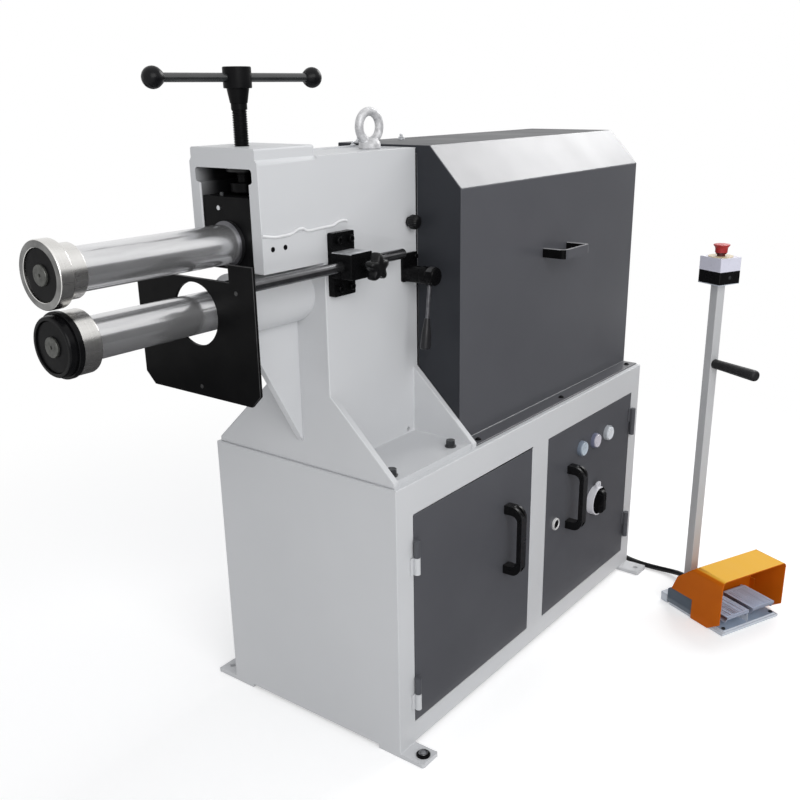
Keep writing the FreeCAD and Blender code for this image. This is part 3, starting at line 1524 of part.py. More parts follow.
def cable():
    """Round cable along straight runs that arcs join, and its length."""
    end = station_point(station_gland_u, housing_rear + gland_length, station_gland_z)
    points = cable_route() + [end]
    edges = []
    current = points[0]
    for k in range(1, len(points) - 1):
        before = points[k] - points[k - 1]
        after = points[k + 1] - points[k]
        run = 0.45 * min(before.Length, after.Length)
        turn = before.getAngle(after)
        incoming = points[k] - before * (run / before.Length)
        outgoing = points[k] + after * (run / after.Length)
        radius = run / math.tan(turn / 2)
        print("cable radius", k, round(radius, 1), "run", round(before.Length, 1))
        bisector = (incoming + outgoing) * 0.5 - points[k]
        distance = radius / math.cos(turn / 2) - radius
        middle = points[k] + bisector * (distance / bisector.Length)
        edges.append(Part.LineSegment(current, incoming).toShape())
        edges.append(Part.Arc(incoming, middle, outgoing).toShape())
        current = outgoing
    edges.append(Part.LineSegment(current, points[-1]).toShape())
    path = Part.Wire(edges)
    start_direction = points[1] - points[0]
    section = Part.Wire(Part.makeCircle(cable_radius, points[0], start_direction))
    body = path.makePipe(Part.Face(section))
    expected = math.pi * cable_radius ** 2 * path.Length
    print("cable length", round(path.Length, 1), "volume ratio", round(body.Volume / expected, 4))
    return body


def cable_glands():
    """Glands on the cabinet's side, on its rear and on the pedal housing."""
    nut = gland_length / 2
    neck_radius = gland_radius - gland_nut_step
    side = fused([cyl_x(gland_radius, half_length, half_length + nut, gland_y, gland_z),
                  cyl_x(neck_radius, half_length, half_length + gland_length, gland_y, gland_z)])
    rear = fused([cyl_y(gland_radius, half_depth, half_depth + nut, mains_gland_x, mains_gland_z),
                  cyl_y(neck_radius, half_depth, half_depth + gland_length, mains_gland_x, mains_gland_z)])
    rear_end = half_depth + gland_length
    rear = rear.cut(cyl_y(cable_radius, rear_end - mains_gland_bore, rear_end + 1, mains_gland_x, mains_gland_z))
    z = station_gland_z
    housing = fused([cyl_y(gland_radius, housing_rear, housing_rear + nut, station_gland_u, z),
                     cyl_y(neck_radius, housing_rear, housing_rear + gland_length, station_gland_u, z)])
    return side, rear, station(housing)


def main():
    """Build and write every piece."""
    os.makedirs("parts", exist_ok=True)
    save("cabinet_body", cabinet())
    save("levelling_bush", *levelling_bush())
    frame_halves = [hinge_lower_half(left_hinge_x, z, -1) for z in left_hinge_heights]
    frame_halves += [hinge_lower_half(right_hinge_x, z, 1) for z in right_hinge_heights]
    save("hinge_lower_halves", *frame_halves)
    save("left_door", *door(left_door_start, left_door_end, left_hinge_x, left_hinge_heights, 1, []))
    holes = [(button_stem_radius + running_gap, x, button_z) for x in button_x]
    holes += [(lock_shank_radius + running_gap, lock_x, lock_z), (lock_shank_radius, switch_x, switch_z)]
    save("right_door", *door(right_door_start, right_door_end, right_hinge_x, right_hinge_heights, -1, holes))
    save("left_door_handle", door_handle(left_handle_x))
    save("right_door_handle", door_handle(right_handle_x))
    for name, x in zip(("button_left", "button_middle", "button_right"), button_x):
        save(name, push_button(x))
    save("main_switch_shroud", switch_shroud())
    save("main_switch_knob", switch_knob())
    save("cam_lock", cam_lock())
    save("electrical_panel", *electrical_panel())
    save("column_frame", column())
    save("head_frame", head())
    save("lower_shaft_housing", lower_housing())
    save("lower_shaft_bushes", *lower_bushes())
    save("upper_arm", upper_arm())
    save("upper_bushes", *upper_bushes())
    save("pivot_pins", *pivot_pins())
    save("pivot_knob", pivot_knob())
    save("upper_gear", gear(upper_shaft_z))
    save("lower_gear", gear(lower_shaft_z))
    upper_nose = upper_roll_left + cap_recess
    lower_nose = lower_ring_x + cap_recess
    save("upper_shaft", shaft(roll_right, upper_nose, gear_right + gear_end, upper_shaft_z))
    save("lower_shaft", shaft(lower_roll_right, lower_nose, lower_shaft_right, lower_shaft_z))
    save("upper_roll", upper_roll())
    save("upper_roll_cap", *cap(upper_roll_left, upper_shaft_z, cap_screw_radius, 5))
    save("lower_roll_ring", lower_ring(), *cap(lower_ring_x, lower_shaft_z, cap_screw_radius, 3))
    save("lower_roll_collar", lower_collar())
    save("pressure_pad", pressure_pad())
    save("pressure_screw", pressure_screw())
    save("tommy_bar", *tommy_bar())
    save("screw_nut", screw_nut())
    save("eye_bolt", eye_bolt())
    save("machine_bolts", *machine_bolts())
    save("hood_shell", hood())
    save("hood_handle", hood_handle())
    save("gauge_plate", gauge_plate())
    save("gauge_rod", cyl_x(rod_radius, rod_left, rod_right, rod_y, rod_z))
    save("gauge_bracket", gauge_bracket())
    save("clamp_block", clamp_block())
    save("star_knob", star_knob())
    save("lever_base", lever_base())
    save("shift_lever", *shift_lever())
    save("gearbox", gearbox())
    save("motor", *motor())
    save("drive_stand", drive_stand())
    save("pedal_base", *pedal_base())
    save("pedal_housing", pedal_housing())
    save("pedal_guard", pedal_guard())
    save("left_pedal", pedal(pedal_starts[0]))
    save("right_pedal", pedal(pedal_starts[1]))
    save("stop_post", stop_post())
    save("post_grip", post_grip())
    save("stop_box_base", stop_box_base())
    save("stop_box_lid", *stop_box_lid())
    save("stop_button", stop_button())
    save("cable_glands", *cable_glands())
    save("control_cable", cable())


main()
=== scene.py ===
"""Looks of the motor-driven beading and bending machine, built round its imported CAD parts."""
import math
import random

import bmesh
import bpy
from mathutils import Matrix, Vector


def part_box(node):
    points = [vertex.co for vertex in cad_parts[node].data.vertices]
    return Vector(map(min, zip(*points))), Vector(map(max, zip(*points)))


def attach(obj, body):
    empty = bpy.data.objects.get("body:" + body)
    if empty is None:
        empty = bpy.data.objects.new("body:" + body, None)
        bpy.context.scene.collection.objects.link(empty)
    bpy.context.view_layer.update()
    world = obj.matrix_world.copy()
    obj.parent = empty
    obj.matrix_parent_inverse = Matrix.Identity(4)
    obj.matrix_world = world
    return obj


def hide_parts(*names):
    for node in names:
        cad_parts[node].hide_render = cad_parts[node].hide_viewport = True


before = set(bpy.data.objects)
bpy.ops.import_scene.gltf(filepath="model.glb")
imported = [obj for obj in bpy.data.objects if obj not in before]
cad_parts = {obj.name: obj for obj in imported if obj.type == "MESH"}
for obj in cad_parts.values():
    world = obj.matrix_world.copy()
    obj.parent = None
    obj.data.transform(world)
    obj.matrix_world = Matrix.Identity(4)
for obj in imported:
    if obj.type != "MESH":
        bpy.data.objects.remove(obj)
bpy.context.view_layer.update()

# Camera: in front of the roll end, a little above the rolls, looking down along the cabinet.
# Its place, turn, focal length and shift are those at which the cabinet's and head's edges fit the view.
bpy.ops.object.select_all(action="DESELECT")
bpy.ops.object.camera_add(
    location=(-1.8819, -1.2968, 1.3294),
    rotation=(math.radians(70.367), math.radians(0.517), math.radians(-53.389)),
)
camera = bpy.context.object
camera.data.sensor_width = 36
camera.data.lens = 43.553
camera.data.shift_x = -0.0217
camera.data.shift_y = 0.0434
bpy.context.scene.camera = camera
bpy.context.scene.view_settings.view_transform = "Standard"

# Studio: a white room, shown white to the camera and to gloss, dimmer as fill light.
# The world's light path keeps the fill apart from the white that is seen.
def add_node(tree, kind, inputs, **settings):
    """A shader node with its settings; each input gets a value, or a link where an output is given."""
    node = tree.nodes.new("ShaderNode" + kind)
    for setting, value in settings.items():
        setattr(node, setting, value)
    for key, value in inputs.items():
        if isinstance(value, bpy.types.NodeSocket):
            tree.links.new(value, node.inputs[key])
        else:
            node.inputs[key].default_value = value
    return node


def seen_rays(tree):
    """An output that is 1 for rays of the camera, of gloss and of transmission, and 0 for fill light."""
    rays = add_node(tree, "LightPath", {}).outputs
    seen = add_node(tree, "Math", {0: rays["Is Camera Ray"], 1: rays["Is Glossy Ray"]}, operation="MAXIMUM")
    seen = add_node(tree, "Math", {0: seen.outputs[0], 1: rays["Is Transmission Ray"]}, operation="MAXIMUM")
    return seen.outputs[0]


room = bpy.data.worlds.new("white_room")
bpy.context.scene.world = room
room.use_nodes = True
tree = room.node_tree
tree.nodes.clear()
fill = add_node(tree, "Background", {"Color": (0.97, 0.98, 1.0, 1), "Strength": 0.5})
white = add_node(tree, "Background", {"Color": (1, 1, 1, 1), "Strength": 1.0})
choice = add_node(tree, "MixShader", {"Fac": seen_rays(tree), 1: fill.outputs[0], 2: white.outputs[0]})
add_node(tree, "OutputWorld", {"Surface": choice.outputs[0]})

# Floor: a pale matt disc that the machine stands on, white where nothing shades it.
# It turns to plain white with distance, so that it meets the room without a line.
bpy.ops.object.select_all(action="DESELECT")
bpy.ops.mesh.primitive_circle_add(vertices=96, radius=12, fill_type="NGON", location=(0, 0, 0))
floor = bpy.context.object
floor.name = "studio_floor"
pale = bpy.data.materials.new("pale_floor")
pale.use_nodes = True
tree = pale.node_tree
tree.nodes.clear()
place = add_node(tree, "TexCoord", {}).outputs["Object"]
distance = add_node(tree, "VectorMath", {0: place}, operation="LENGTH").outputs["Value"]
fade = add_node(tree, "MapRange", {"From Min": 0.9, "From Max": 2.3, "Value": distance},
                interpolation_type="SMOOTHSTEP")
matt = add_node(tree, "BsdfDiffuse", {"Color": (0.8, 0.8, 0.8, 1)}).outputs[0]
glow = add_node(tree, "Emission", {"Strength": 0.38}).outputs[0]
lit = add_node(tree, "AddShader", {0: matt, 1: glow}).outputs[0]
blank = add_node(tree, "Emission", {"Strength": 1.0}).outputs[0]
near_or_far = add_node(tree, "MixShader", {"Fac": fade.outputs["Result"], 1: lit, 2: blank}).outputs[0]
whole = add_node(tree, "MixShader", {"Fac": seen_rays(tree), 1: matt, 2: near_or_far}).outputs[0]
add_node(tree, "OutputMaterial", {"Surface": whole})
floor.data.materials.append(pale)

# Dark cards: boards in front of the machine, below its shafts and behind it that only gloss mirrors.
# They give the shafts and rolls their dark lower half, as a photographer's black cards do.
dark_card = bpy.data.materials.new("dark_card")
dark_card.use_nodes = True
card_look = dark_card.node_tree.nodes["Principled BSDF"].inputs
card_look["Base Color"].default_value = (0.10, 0.10, 0.103, 1)
card_look["Roughness"].default_value = 0.9
for name, centre, width, depth, lean in (
    ("upright_dark_card", (1.75, -1.60, 0.72), 6.3, 1.44, -90),
    ("flat_dark_card", (0.9, -0.94, 0.02), 4.6, 1.32, 0),
    ("low_dark_card", (-0.85, -0.04, 0.80), 0.58, 0.62, 0),
    ("rear_dark_card", (0.10, 1.20, 0.47), 2.8, 0.94, 90),
):
    bpy.ops.object.select_all(action="DESELECT")
    bpy.ops.mesh.primitive_plane_add(size=1, location=centre, rotation=(math.radians(lean), 0, 0))
    card = bpy.context.object
    card.name = name
    card.scale = (width, depth, 1)
    card.data.materials.append(dark_card)
    for ray in ("camera", "diffuse", "shadow", "transmission"):
        setattr(card, "visible_" + ray, False)

# Lamps: a soft box high at the right, whose mirror image whitens the hood's chamfer,
# a broad one at the front left for the door side and the roll end, and a weak one overhead.
for name, target, direction, reach, width, height, power in (
    ("right_soft_box", (0.15, -0.16, 1.18), (0.838, -0.075, 0.541), 3.0, 1.7, 1.5, 49),
    ("left_soft_box", (0, 0, 0.8), (-0.54, -0.74, 0.40), 4.0, 2.8, 2.4, 77),
    ("top_soft_box", (0, 0, 1.0), (-0.15, -0.1, 0.98), 3.2, 2.2, 1.8, 4),
):
    way = Vector(direction).normalized()
    bpy.ops.object.light_add(
        type="AREA",
        location=Vector(target) + reach * way,
        rotation=way.to_track_quat("Z", "Y").to_euler(),
    )
    lamp = bpy.context.object
    lamp.name = name
    lamp.data.shape = "RECTANGLE"
    lamp.data.size = width
    lamp.data.size_y = height
    lamp.data.energy = power

# Control cable: round black rubber cable from the cabinet's side to the pedal station.
# It leaves its gland level, drops to the floor and runs round the cabinet's corner.
cable_points = (
    (0.572, 0.150, 0.040), (0.598, 0.150, 0.040), (0.638, 0.133, 0.037), (0.668, 0.102, 0.028),
    (0.685, 0.061, 0.016), (0.684, 0.012, 0.009), (0.671, -0.039, 0.0075), (0.649, -0.089, 0.0075),
    (0.621, -0.137, 0.0075), (0.591, -0.184, 0.0075), (0.569, -0.236, 0.0075), (0.558, -0.290, 0.0075),
    (0.559, -0.342, 0.008), (0.558, -0.382, 0.011), (0.546, -0.413, 0.018), (0.5314, -0.4416, 0.022),
    (0.5184, -0.4708, 0.022),
)


def add_line(name, points, radius, course_steps, round_steps):
    """A curve of round section along a smooth line led by points."""
    line = bpy.data.curves.new(name, "CURVE")
    line.dimensions = "3D"
    run = line.splines.new("NURBS")
    run.points.add(len(points) - 1)
    for point, place in zip(run.points, points):
        point.co = (*place, 1)
    run.order_u = 3
    run.use_endpoint_u = True
    line.resolution_u = course_steps
    line.bevel_depth = radius
    line.bevel_resolution = round_steps
    line.use_fill_caps = True
    cord = bpy.data.objects.new(name, line)
    bpy.context.scene.collection.objects.link(cord)
    return cord


def start_finish(name, slot):
    """A new finish, its node tree and its shader's inputs."""
    finish = bpy.data.materials.new(name)
    finish["slot"] = slot
    finish.use_nodes = True
    return finish, finish.node_tree, finish.node_tree.nodes["Principled BSDF"].inputs


def add_shades(tree, mottle, dark, light):
    """A colour between dark and light, by a mottle's strength."""
    shades = add_node(tree, "ValToRGB", {"Fac": mottle})
    for stop, position, colour in zip(shades.color_ramp.elements, (0.3, 0.7), (dark, light)):
        stop.position = position
        stop.color = (*colour, 1)
    return shades.outputs["Color"]


def add_range(tree, value, low, high, to_low, to_high):
    """A value moved from one range to another."""
    return add_node(tree, "MapRange", {"From Min": low, "From Max": high, "To Min": to_low,
                                       "To Max": to_high, "Value": value}).outputs["Result"]


def uneven_finish(name, slot, light, dark, gloss, dull, blotch=0.03, grain=0.0009, relief=0.00002,
                  metal=0.0, shine=0.5):
    """A finish whose colour and gloss drift in soft blotches over a fine grain, sizes in metres."""
    finish, tree, shader = start_finish(name, slot)
    shader["Metallic"].default_value = metal
    shader["Specular IOR Level"].default_value = shine
    place = add_node(tree, "TexCoord", {}).outputs["Object"]
    clouds = add_node(tree, "TexNoise", {"Scale": 1 / blotch, "Detail": 4, "Vector": place})
    tree.links.new(add_shades(tree, clouds.outputs["Fac"], dark, light), shader["Base Color"])
    smears = add_node(tree, "TexNoise", {"Scale": 2.3 / blotch, "Detail": 5, "Roughness": 0.6,
                                         "Vector": place})
    tree.links.new(add_range(tree, smears.outputs["Fac"], 0.3, 0.7, gloss, dull), shader["Roughness"])
    skin = add_node(tree, "TexNoise", {"Scale": 1 / grain, "Detail": 2, "Vector": place})
    bump = add_node(tree, "Bump", {"Strength": 0.6, "Distance": relief, "Height": skin.outputs["Fac"]})
    tree.links.new(bump.outputs["Normal"], shader["Normal"])
    return finish


cable = add_line("control_cable_dressed", cable_points, 0.007, course_steps=12, round_steps=5)
rubber = uneven_finish(
    "cable_rubber", "cable_rubber", (0.010, 0.010, 0.011), (0.005, 0.005, 0.006),
    gloss=0.42, dull=0.6, blotch=0.05, grain=0.0012, relief=0.00006, shine=0.3)
cable.data.materials.append(rubber)
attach(cable, "machine")
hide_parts("control_cable")


# Cabinet: folded and welded 3 mm sheet under a thick top plate, with four floor tabs.
# It is powder coated light grey, so its bends are round and its skin has a fine orange peel.
def work_on(piece):
    """Only this piece is selected and active."""
    bpy.ops.object.select_all(action="DESELECT")
    piece.select_set(True)
    bpy.context.view_layer.objects.active = piece


def pick(piece, kind, wanted):
    """In edit mode, selects only the vertices, edges or faces for which wanted is true."""
    bpy.ops.mesh.select_mode(type=kind)
    bpy.ops.mesh.select_all(action="DESELECT")
    shape = bmesh.from_edit_mesh(piece.data)
    shape.normal_update()
    for part in {"VERT": shape.verts, "EDGE": shape.edges, "FACE": shape.faces}[kind]:
        if wanted(part):
            part.select_set(True)
    bmesh.update_edit_mesh(piece.data)


def middle(part):
    """Middle of an edge or a face."""
    return sum((v.co for v in part.verts), Vector()) / len(part.verts)


def straight_fold(edge, shortest):
    """Whether an edge is a sharp outer or inner corner and long enough to be a bend or a cut side."""
    return (len(edge.link_faces) == 2 and edge.calc_length() > shortest
            and edge.calc_face_angle(0) > math.radians(35))


def merged_copy(node):
    """A copy of a CAD node's mesh, doubles merged and flat faces made whole, but for thin rims."""
    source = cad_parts[node]
    piece = bpy.data.objects.new(node + "_dressed", source.data.copy())
    bpy.context.scene.collection.objects.link(piece)
    piece.data.materials.clear()
    work_on(piece)
    bpy.ops.object.mode_set(mode="EDIT")
    bpy.ops.mesh.select_all(action="SELECT")
    bpy.ops.mesh.remove_doubles(threshold=0.00001)
    bpy.ops.mesh.dissolve_limited(angle_limit=math.radians(0.3))
    pick(piece, "FACE", lambda f: len(f.verts) > 5 and f.calc_area() < 0.004 * f.calc_perimeter() ** 2)
    bpy.ops.mesh.quads_convert_to_tris(quad_method="BEAUTY", ngon_method="BEAUTY")
    bpy.ops.object.mode_set(mode="OBJECT")
    return piece


def edit(piece, kind, wanted, change, **settings):
    """Changes the picked vertices, edges or faces of a piece with a mesh operator."""
    work_on(piece)
    bpy.ops.object.mode_set(mode="EDIT")
    pick(piece, kind, wanted)
    change(**settings)
    bpy.ops.object.mode_set(mode="OBJECT")
    return piece


def round_folds(piece, radius, wanted, steps=3):
    """Rounds the picked edges of a piece."""
    return edit(piece, "EDGE", wanted, bpy.ops.mesh.bevel, offset=radius, offset_type="OFFSET",
                segments=steps, affect="EDGES", clamp_overlap=False, miter_outer="ARC")


def apply_modifier(piece, kind, **settings):
    """Adds a modifier with its settings to a piece and applies it."""
    work_on(piece)
    bpy.ops.object.modifier_add(type=kind)
    for setting, value in settings.items():
        setattr(piece.modifiers[-1], setting, value)
    bpy.ops.object.modifier_apply(modifier=piece.modifiers[-1].name)
    return piece


def smooth(piece, angle=38):
    """Smooth across rounded edges, with flat faces left flat."""
    work_on(piece)
    bpy.ops.object.shade_smooth_by_angle(angle=math.radians(angle))
    return apply_modifier(piece, "WEIGHTED_NORMAL", keep_sharp=True)


def hand_over(piece, name, finish, body="machine", replaced=None):
    """Gives the finished piece its name, finish and body. One that is named as a CAD node stands for it."""
    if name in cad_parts:
        name, replaced = name + "_dressed", name
    piece.name = name
    piece.data.name = name
    piece.data.materials.append(finish)
    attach(piece, body)
    if replaced:
        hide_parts(replaced)
    return piece


def dress(node, finish, radius=0, shortest=0, steps=3, body="machine", where=lambda edge: True):
    """A merged copy of a CAD node in its finish, with its long edges rounded where that is wanted."""
    piece = merged_copy(node)
    if radius:
        round_folds(piece, radius, lambda e: straight_fold(e, shortest) and where(e), steps)
    return hand_over(smooth(piece), node, finish, body)


light_paint = uneven_finish(
    "light_grey_powder_coat", "light_paint", (0.622, 0.630, 0.644), (0.588, 0.597, 0.612),
    gloss=0.34, dull=0.46, blotch=0.35, grain=0.0018, relief=0.00003, shine=0.4)
dress("cabinet_body", light_paint, 0.0022, 0.012, where=lambda e: not -0.2255 < middle(e).y < -0.2245)


# Levelling sleeve: a turned black collar round a bright bored sleeve, screwed into the front left foot.
# The other three feet have plain anchor holes.
UP, FRONT, BACK, RIGHT = (0, 0, 1), (0, -1, 0), (0, 1, 0), (1, 0, 0)


def add_shape(add, **settings):
    """A mesh primitive with its place and turn in its mesh."""
    bpy.ops.object.select_all(action="DESELECT")
    add(**settings)
    bpy.ops.object.transform_apply(location=True, rotation=True, scale=True)
    return bpy.context.object


def add_turned(foot, axis, steps, sides=48, bored=False, lobes=0, depth=0.0):
    """A turned piece from (distance, radius) steps in mm along an axis, closed or bored, lobed if wanted."""
    axis = Vector(axis).normalized()
    foot = Vector(foot)
    steps = [(along / 1000, radius / 1000) for along, radius in steps]
    centre = foot + axis * steps[0][0]
    piece = add_shape(bpy.ops.mesh.primitive_circle_add, vertices=sides, radius=steps[0][1],
                      fill_type="NGON", location=centre, rotation=axis.to_track_quat("Z", "Y").to_euler())
    if lobes:
        for count, corner in enumerate(piece.data.vertices):
            wave = math.cos(2 * math.pi * lobes * count / sides)
            corner.co = centre + (corner.co - centre) * (1 - depth * (1 - wave) / 2)
    bpy.ops.object.mode_set(mode="EDIT")
    bpy.ops.mesh.select_all(action="SELECT")
    for (before, thin), (after, wide) in zip(steps, steps[1:]):
        bpy.ops.mesh.extrude_region_move(
            TRANSFORM_OT_translate={"value": axis * (after - before)})
        if wide != thin:
            bpy.ops.transform.resize(value=[wide / thin] * 3, center_override=foot + axis * after)
    if bored:
        pick(piece, "FACE", lambda f: len(f.verts) == sides)
        bpy.ops.mesh.delete(type="FACE")
        pick(piece, "EDGE", lambda e: e.is_boundary)
        bpy.ops.mesh.bridge_edge_loops()
    bpy.ops.mesh.select_mode(type="VERT")
    bpy.ops.mesh.select_all(action="SELECT")
    bpy.ops.mesh.remove_doubles(threshold=0.000001)
    bpy.ops.mesh.normals_make_consistent(inside=False)
    bpy.ops.object.mode_set(mode="OBJECT")
    return piece


def soften(piece, radius, steps=2, angle=30):
    """Rounds every edge sharper than the angle."""
    return apply_modifier(piece, "BEVEL", width=radius, segments=steps, limit_method="ANGLE",
                          angle_limit=math.radians(angle))


def turned_piece(name, finish, foot, axis, steps, sides=48, angle=38, body="machine", replaced=None,
                 **more):
    """A turned piece, smoothed and handed over."""
    piece = smooth(add_turned(foot, axis, steps, sides, **more), angle)
    return hand_over(piece, name, finish, body, replaced)


black_steel = uneven_finish(
    "blackened_steel", "black_steel", (0.007, 0.007, 0.0075), (0.0035, 0.0035, 0.004),
    gloss=0.26, dull=0.42, blotch=0.04, relief=0.00003, shine=0.06)
bright_steel = uneven_finish(
    "bright_small_steel", "ground_steel", (0.60, 0.61, 0.63), (0.48, 0.49, 0.51),
    gloss=0.24, dull=0.38, blotch=0.01, grain=0.0005, relief=0.00001, metal=1.0)
foot_x, foot_y = -0.523, -0.288
collar = add_turned((foot_x, foot_y, 0.010), UP, ((0, 10.2), (0, 15), (3, 15), (6, 12), (6, 10.2)),
                    bored=True)
hand_over(smooth(soften(collar, 0.0004)), "levelling_collar", black_steel, replaced="levelling_bush")
turned_piece("levelling_sleeve", bright_steel, (foot_x, foot_y, 0.0005), UP, (
    (0, 7), (0, 9.9), (15.7, 9.9), (16.5, 9.2), (16.5, 7.8), (15.8, 7)), bored=True)


# Hinges: weld-on steel hinges; the lower half with the pin is welded to the frame and painted with it.
# The upper half is welded to the door and comes with it; at the right door both halves are dark.
def second_finish(piece, finish, wanted):
    """Gives the faces whose middle and normal are wanted another finish."""
    piece.data.materials.append(finish)
    for face in piece.data.polygons:
        if wanted(face.center, face.normal):
            face.material_index = len(piece.data.materials) - 1


dark_paint = uneven_finish(
    "dark_grey_powder_coat", "dark_paint", (0.092, 0.094, 0.105), (0.078, 0.080, 0.090),
    gloss=0.32, dull=0.42, blotch=0.3, grain=0.0016, shine=0.35)
halves = dress("hinge_lower_halves", light_paint, 0.0006, 0.01, 2)
second_finish(halves, dark_paint, lambda at, normal: at.x > 0)

# Doors: folded sheet pans, powder coated dark grey, that stand a little proud of the frame.
# Their folded edges catch the light as a thin bright line.
dress("left_door", dark_paint, 0.0015, 0.02, body="left_door_body")
dress("right_door", dark_paint, 0.0015, 0.02, body="right_door_body")


# Door handles: moulded black plastic bows, screwed to the doors through their deep end slots.
# The front of the bar is a little lighter where the hand polishes it.
def add_block(low, high):
    """A cube primitive that fills the box from low to high, with its place in its mesh."""
    size = [b - a for a, b in zip(low, high)]
    centre = [(a + b) / 2 for a, b in zip(low, high)]
    return add_shape(bpy.ops.mesh.primitive_cube_add, size=1, location=centre, scale=size)


def combine(piece, other, way="DIFFERENCE"):
    """Cuts the other shape out of the piece, or joins or intersects them, and removes the other."""
    apply_modifier(piece, "BOOLEAN", operation=way, solver="EXACT", object=other)
    bpy.data.objects.remove(other)
    return piece


black_plastic = uneven_finish(
    "black_moulded_plastic", "black_plastic", (0.007, 0.007, 0.0075), (0.004, 0.004, 0.0045),
    gloss=0.24, dull=0.36, blotch=0.06, grain=0.0008, relief=0.00004, shine=0.22)
polished_plastic = uneven_finish(
    "hand_polished_plastic", "black_plastic", (0.018, 0.018, 0.020), (0.012, 0.012, 0.0135),
    gloss=0.26, dull=0.36, blotch=0.06, grain=0.0008, relief=0.00003, shine=0.35)
for node, body in (("left_door_handle", "left_door_body"), ("right_door_handle", "right_door_body")):
    low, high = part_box(node)
    x = (low.x + high.x) / 2
    front = low.y
    bow = add_block(low, high)
    round_folds(bow, 0.026, lambda e: abs(middle(e).y - front) < 0.0001
                and abs(middle(e).x - x) < 0.0001, 10)
    window = add_block((low.x - 0.01, low.y + 0.012, low.z + 0.021),
                       (high.x + 0.01, high.y + 0.01, high.z - 0.021))
    round_folds(window, 0.014, lambda e: abs(middle(e).y - front - 0.012) < 0.0001
                and abs(middle(e).x - x) < 0.0001, 6)
    combine(bow, window)
    for corner_z, side in ((high.z - 0.026, 1), (low.z + 0.026, -1)):
        corner = Vector((x, low.y + 0.026, corner_z))
        outward = Vector((0, -1, side)).normalized()
        combine(bow, add_shape(bpy.ops.mesh.primitive_cube_add, size=1, location=corner + 0.0295 * outward,
                               rotation=(side * math.radians(45), 0, 0), scale=(0.010, 0.05, 0.02)))
    hand_over(smooth(soften(bow, 0.0022, 3)), node, black_plastic, body)
    second_finish(bow, polished_plastic, lambda at, normal: at.y < front + 0.004 and abs(at.x - x) < 0.011
                  and abs(normal.y) > 0.9)
    for end, end_z in (("upper", high.z - 0.0105), ("lower", low.z + 0.0105)):
        turned_piece("%s_%s_screw" % (node, end), black_steel, (x, high.y - 0.0105, end_z), FRONT, (
            (0, 7.5), (3, 7.5), (4.5, 6.2), (4.5, 3.2), (2.5, 3)), sides=32, body=body)


# Push buttons: moulded caps with a dished face that slide in deep round bezels on the right door.
# The caps are pale blue, pinkish and white; each bezel is a little darker than its cap.
def copy_to(master, shift):
    """A shifted copy of a piece that isn't handed over yet, with its own mesh."""
    work_on(master)
    bpy.ops.object.duplicate(linked=False)
    bpy.ops.transform.translate(value=shift)
    bpy.ops.object.transform_apply(location=True, rotation=True, scale=True)
    return bpy.context.object


low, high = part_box("button_left")
bezel = smooth(add_turned((0, -0.248, 0), FRONT, (
    (0, 18), (0, 19.9), (8.5, 19.9), (9.7, 19), (9.7, 18.2), (9, 17.8)), sides=64, bored=True))
cap = smooth(add_turned((0, low.y, 0), BACK, (
    (1.4, 6), (1, 11), (0.3, 14.5), (0, 15.8), (0.5, 16.8), (1.6, 17.3), (8.8, 17.3), (8.8, 8),
    (1000 * (high.y - low.y), 8)), sides=64))
for node, body, bezel_name, bezel_tones, cap_name, cap_tones in (
        ("button_left", "left_push_button", "bezel_blue_grey", ((0.20, 0.24, 0.30), (0.15, 0.18, 0.23)),
         "cap_pale_blue", ((0.52, 0.59, 0.66), (0.44, 0.51, 0.58))),
        ("button_middle", "middle_push_button", "bezel_violet", ((0.17, 0.18, 0.26), (0.13, 0.14, 0.20)),
         "cap_pinkish_white", ((0.64, 0.62, 0.68), (0.56, 0.545, 0.61))),
        ("button_right", "right_push_button", "bezel_white", ((0.46, 0.48, 0.51), (0.38, 0.40, 0.43)),
         "cap_white", ((0.76, 0.79, 0.82), (0.70, 0.73, 0.77)))):
    bezel_look = uneven_finish(bezel_name, "pale_plastic", *bezel_tones, gloss=0.25, dull=0.36,
                               grain=0.0006, shine=0.4)
    cap_look = uneven_finish(cap_name, "pale_plastic", *cap_tones, gloss=0.2, dull=0.3,
                             blotch=0.02, grain=0.0006)
    low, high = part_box(node)
    place = ((low.x + high.x) / 2, 0, (low.z + high.z) / 2)
    hand_over(copy_to(bezel, place), node + "_bezel", bezel_look, "right_door_body")
    hand_over(copy_to(cap, place), node, cap_look, body)
bpy.data.objects.remove(bezel)
bpy.data.objects.remove(cap)

# Main switch: a round shroud of pale plastic with a padlock lug, screwed to the right door.
# A black grip knob is sunk in it, which a padlock through the lug would hold.
switch = Vector((0.300, -0.268, 0.2945))
shroud_pale = uneven_finish(
    "pale_lilac_shroud", "light_paint", (0.74, 0.74, 0.78), (0.66, 0.66, 0.70),
    gloss=0.26, dull=0.38, blotch=0.04, grain=0.0007)
shroud = add_turned(switch, BACK, (
    (12, 9), (12, 34), (10, 35), (1.2, 35), (0.3, 35.7), (0, 36.5), (0.4, 38), (1.6, 38.9), (19.5, 39),
    (20, 38.5), (20, 9)), sides=96, bored=True)
lug = add_block((switch.x - 0.011, -0.264, switch.z + 0.036),
                (switch.x + 0.011, -0.258, switch.z + 0.053))
round_folds(lug, 0.006, lambda e: middle(e).z > switch.z + 0.0529 and abs(middle(e).x - switch.x) > 0.0105
            and abs(e.verts[0].co.y - e.verts[1].co.y) > 0.004, 6)
combine(lug, add_turned((switch.x, -0.27, switch.z + 0.045), BACK, ((0, 3.4), (20, 3.4)), sides=32))
combine(shroud, soften(lug, 0.0008), "UNION")
hand_over(smooth(shroud), "main_switch_shroud", shroud_pale, "right_door_body")
second_finish(shroud, black_plastic, lambda at, normal: at.x > switch.x + 0.004 and at.z < switch.z + 0.034
              or math.hypot(at.x - switch.x, at.z - switch.z) < 0.0352 and at.y > switch.y + 0.0005)
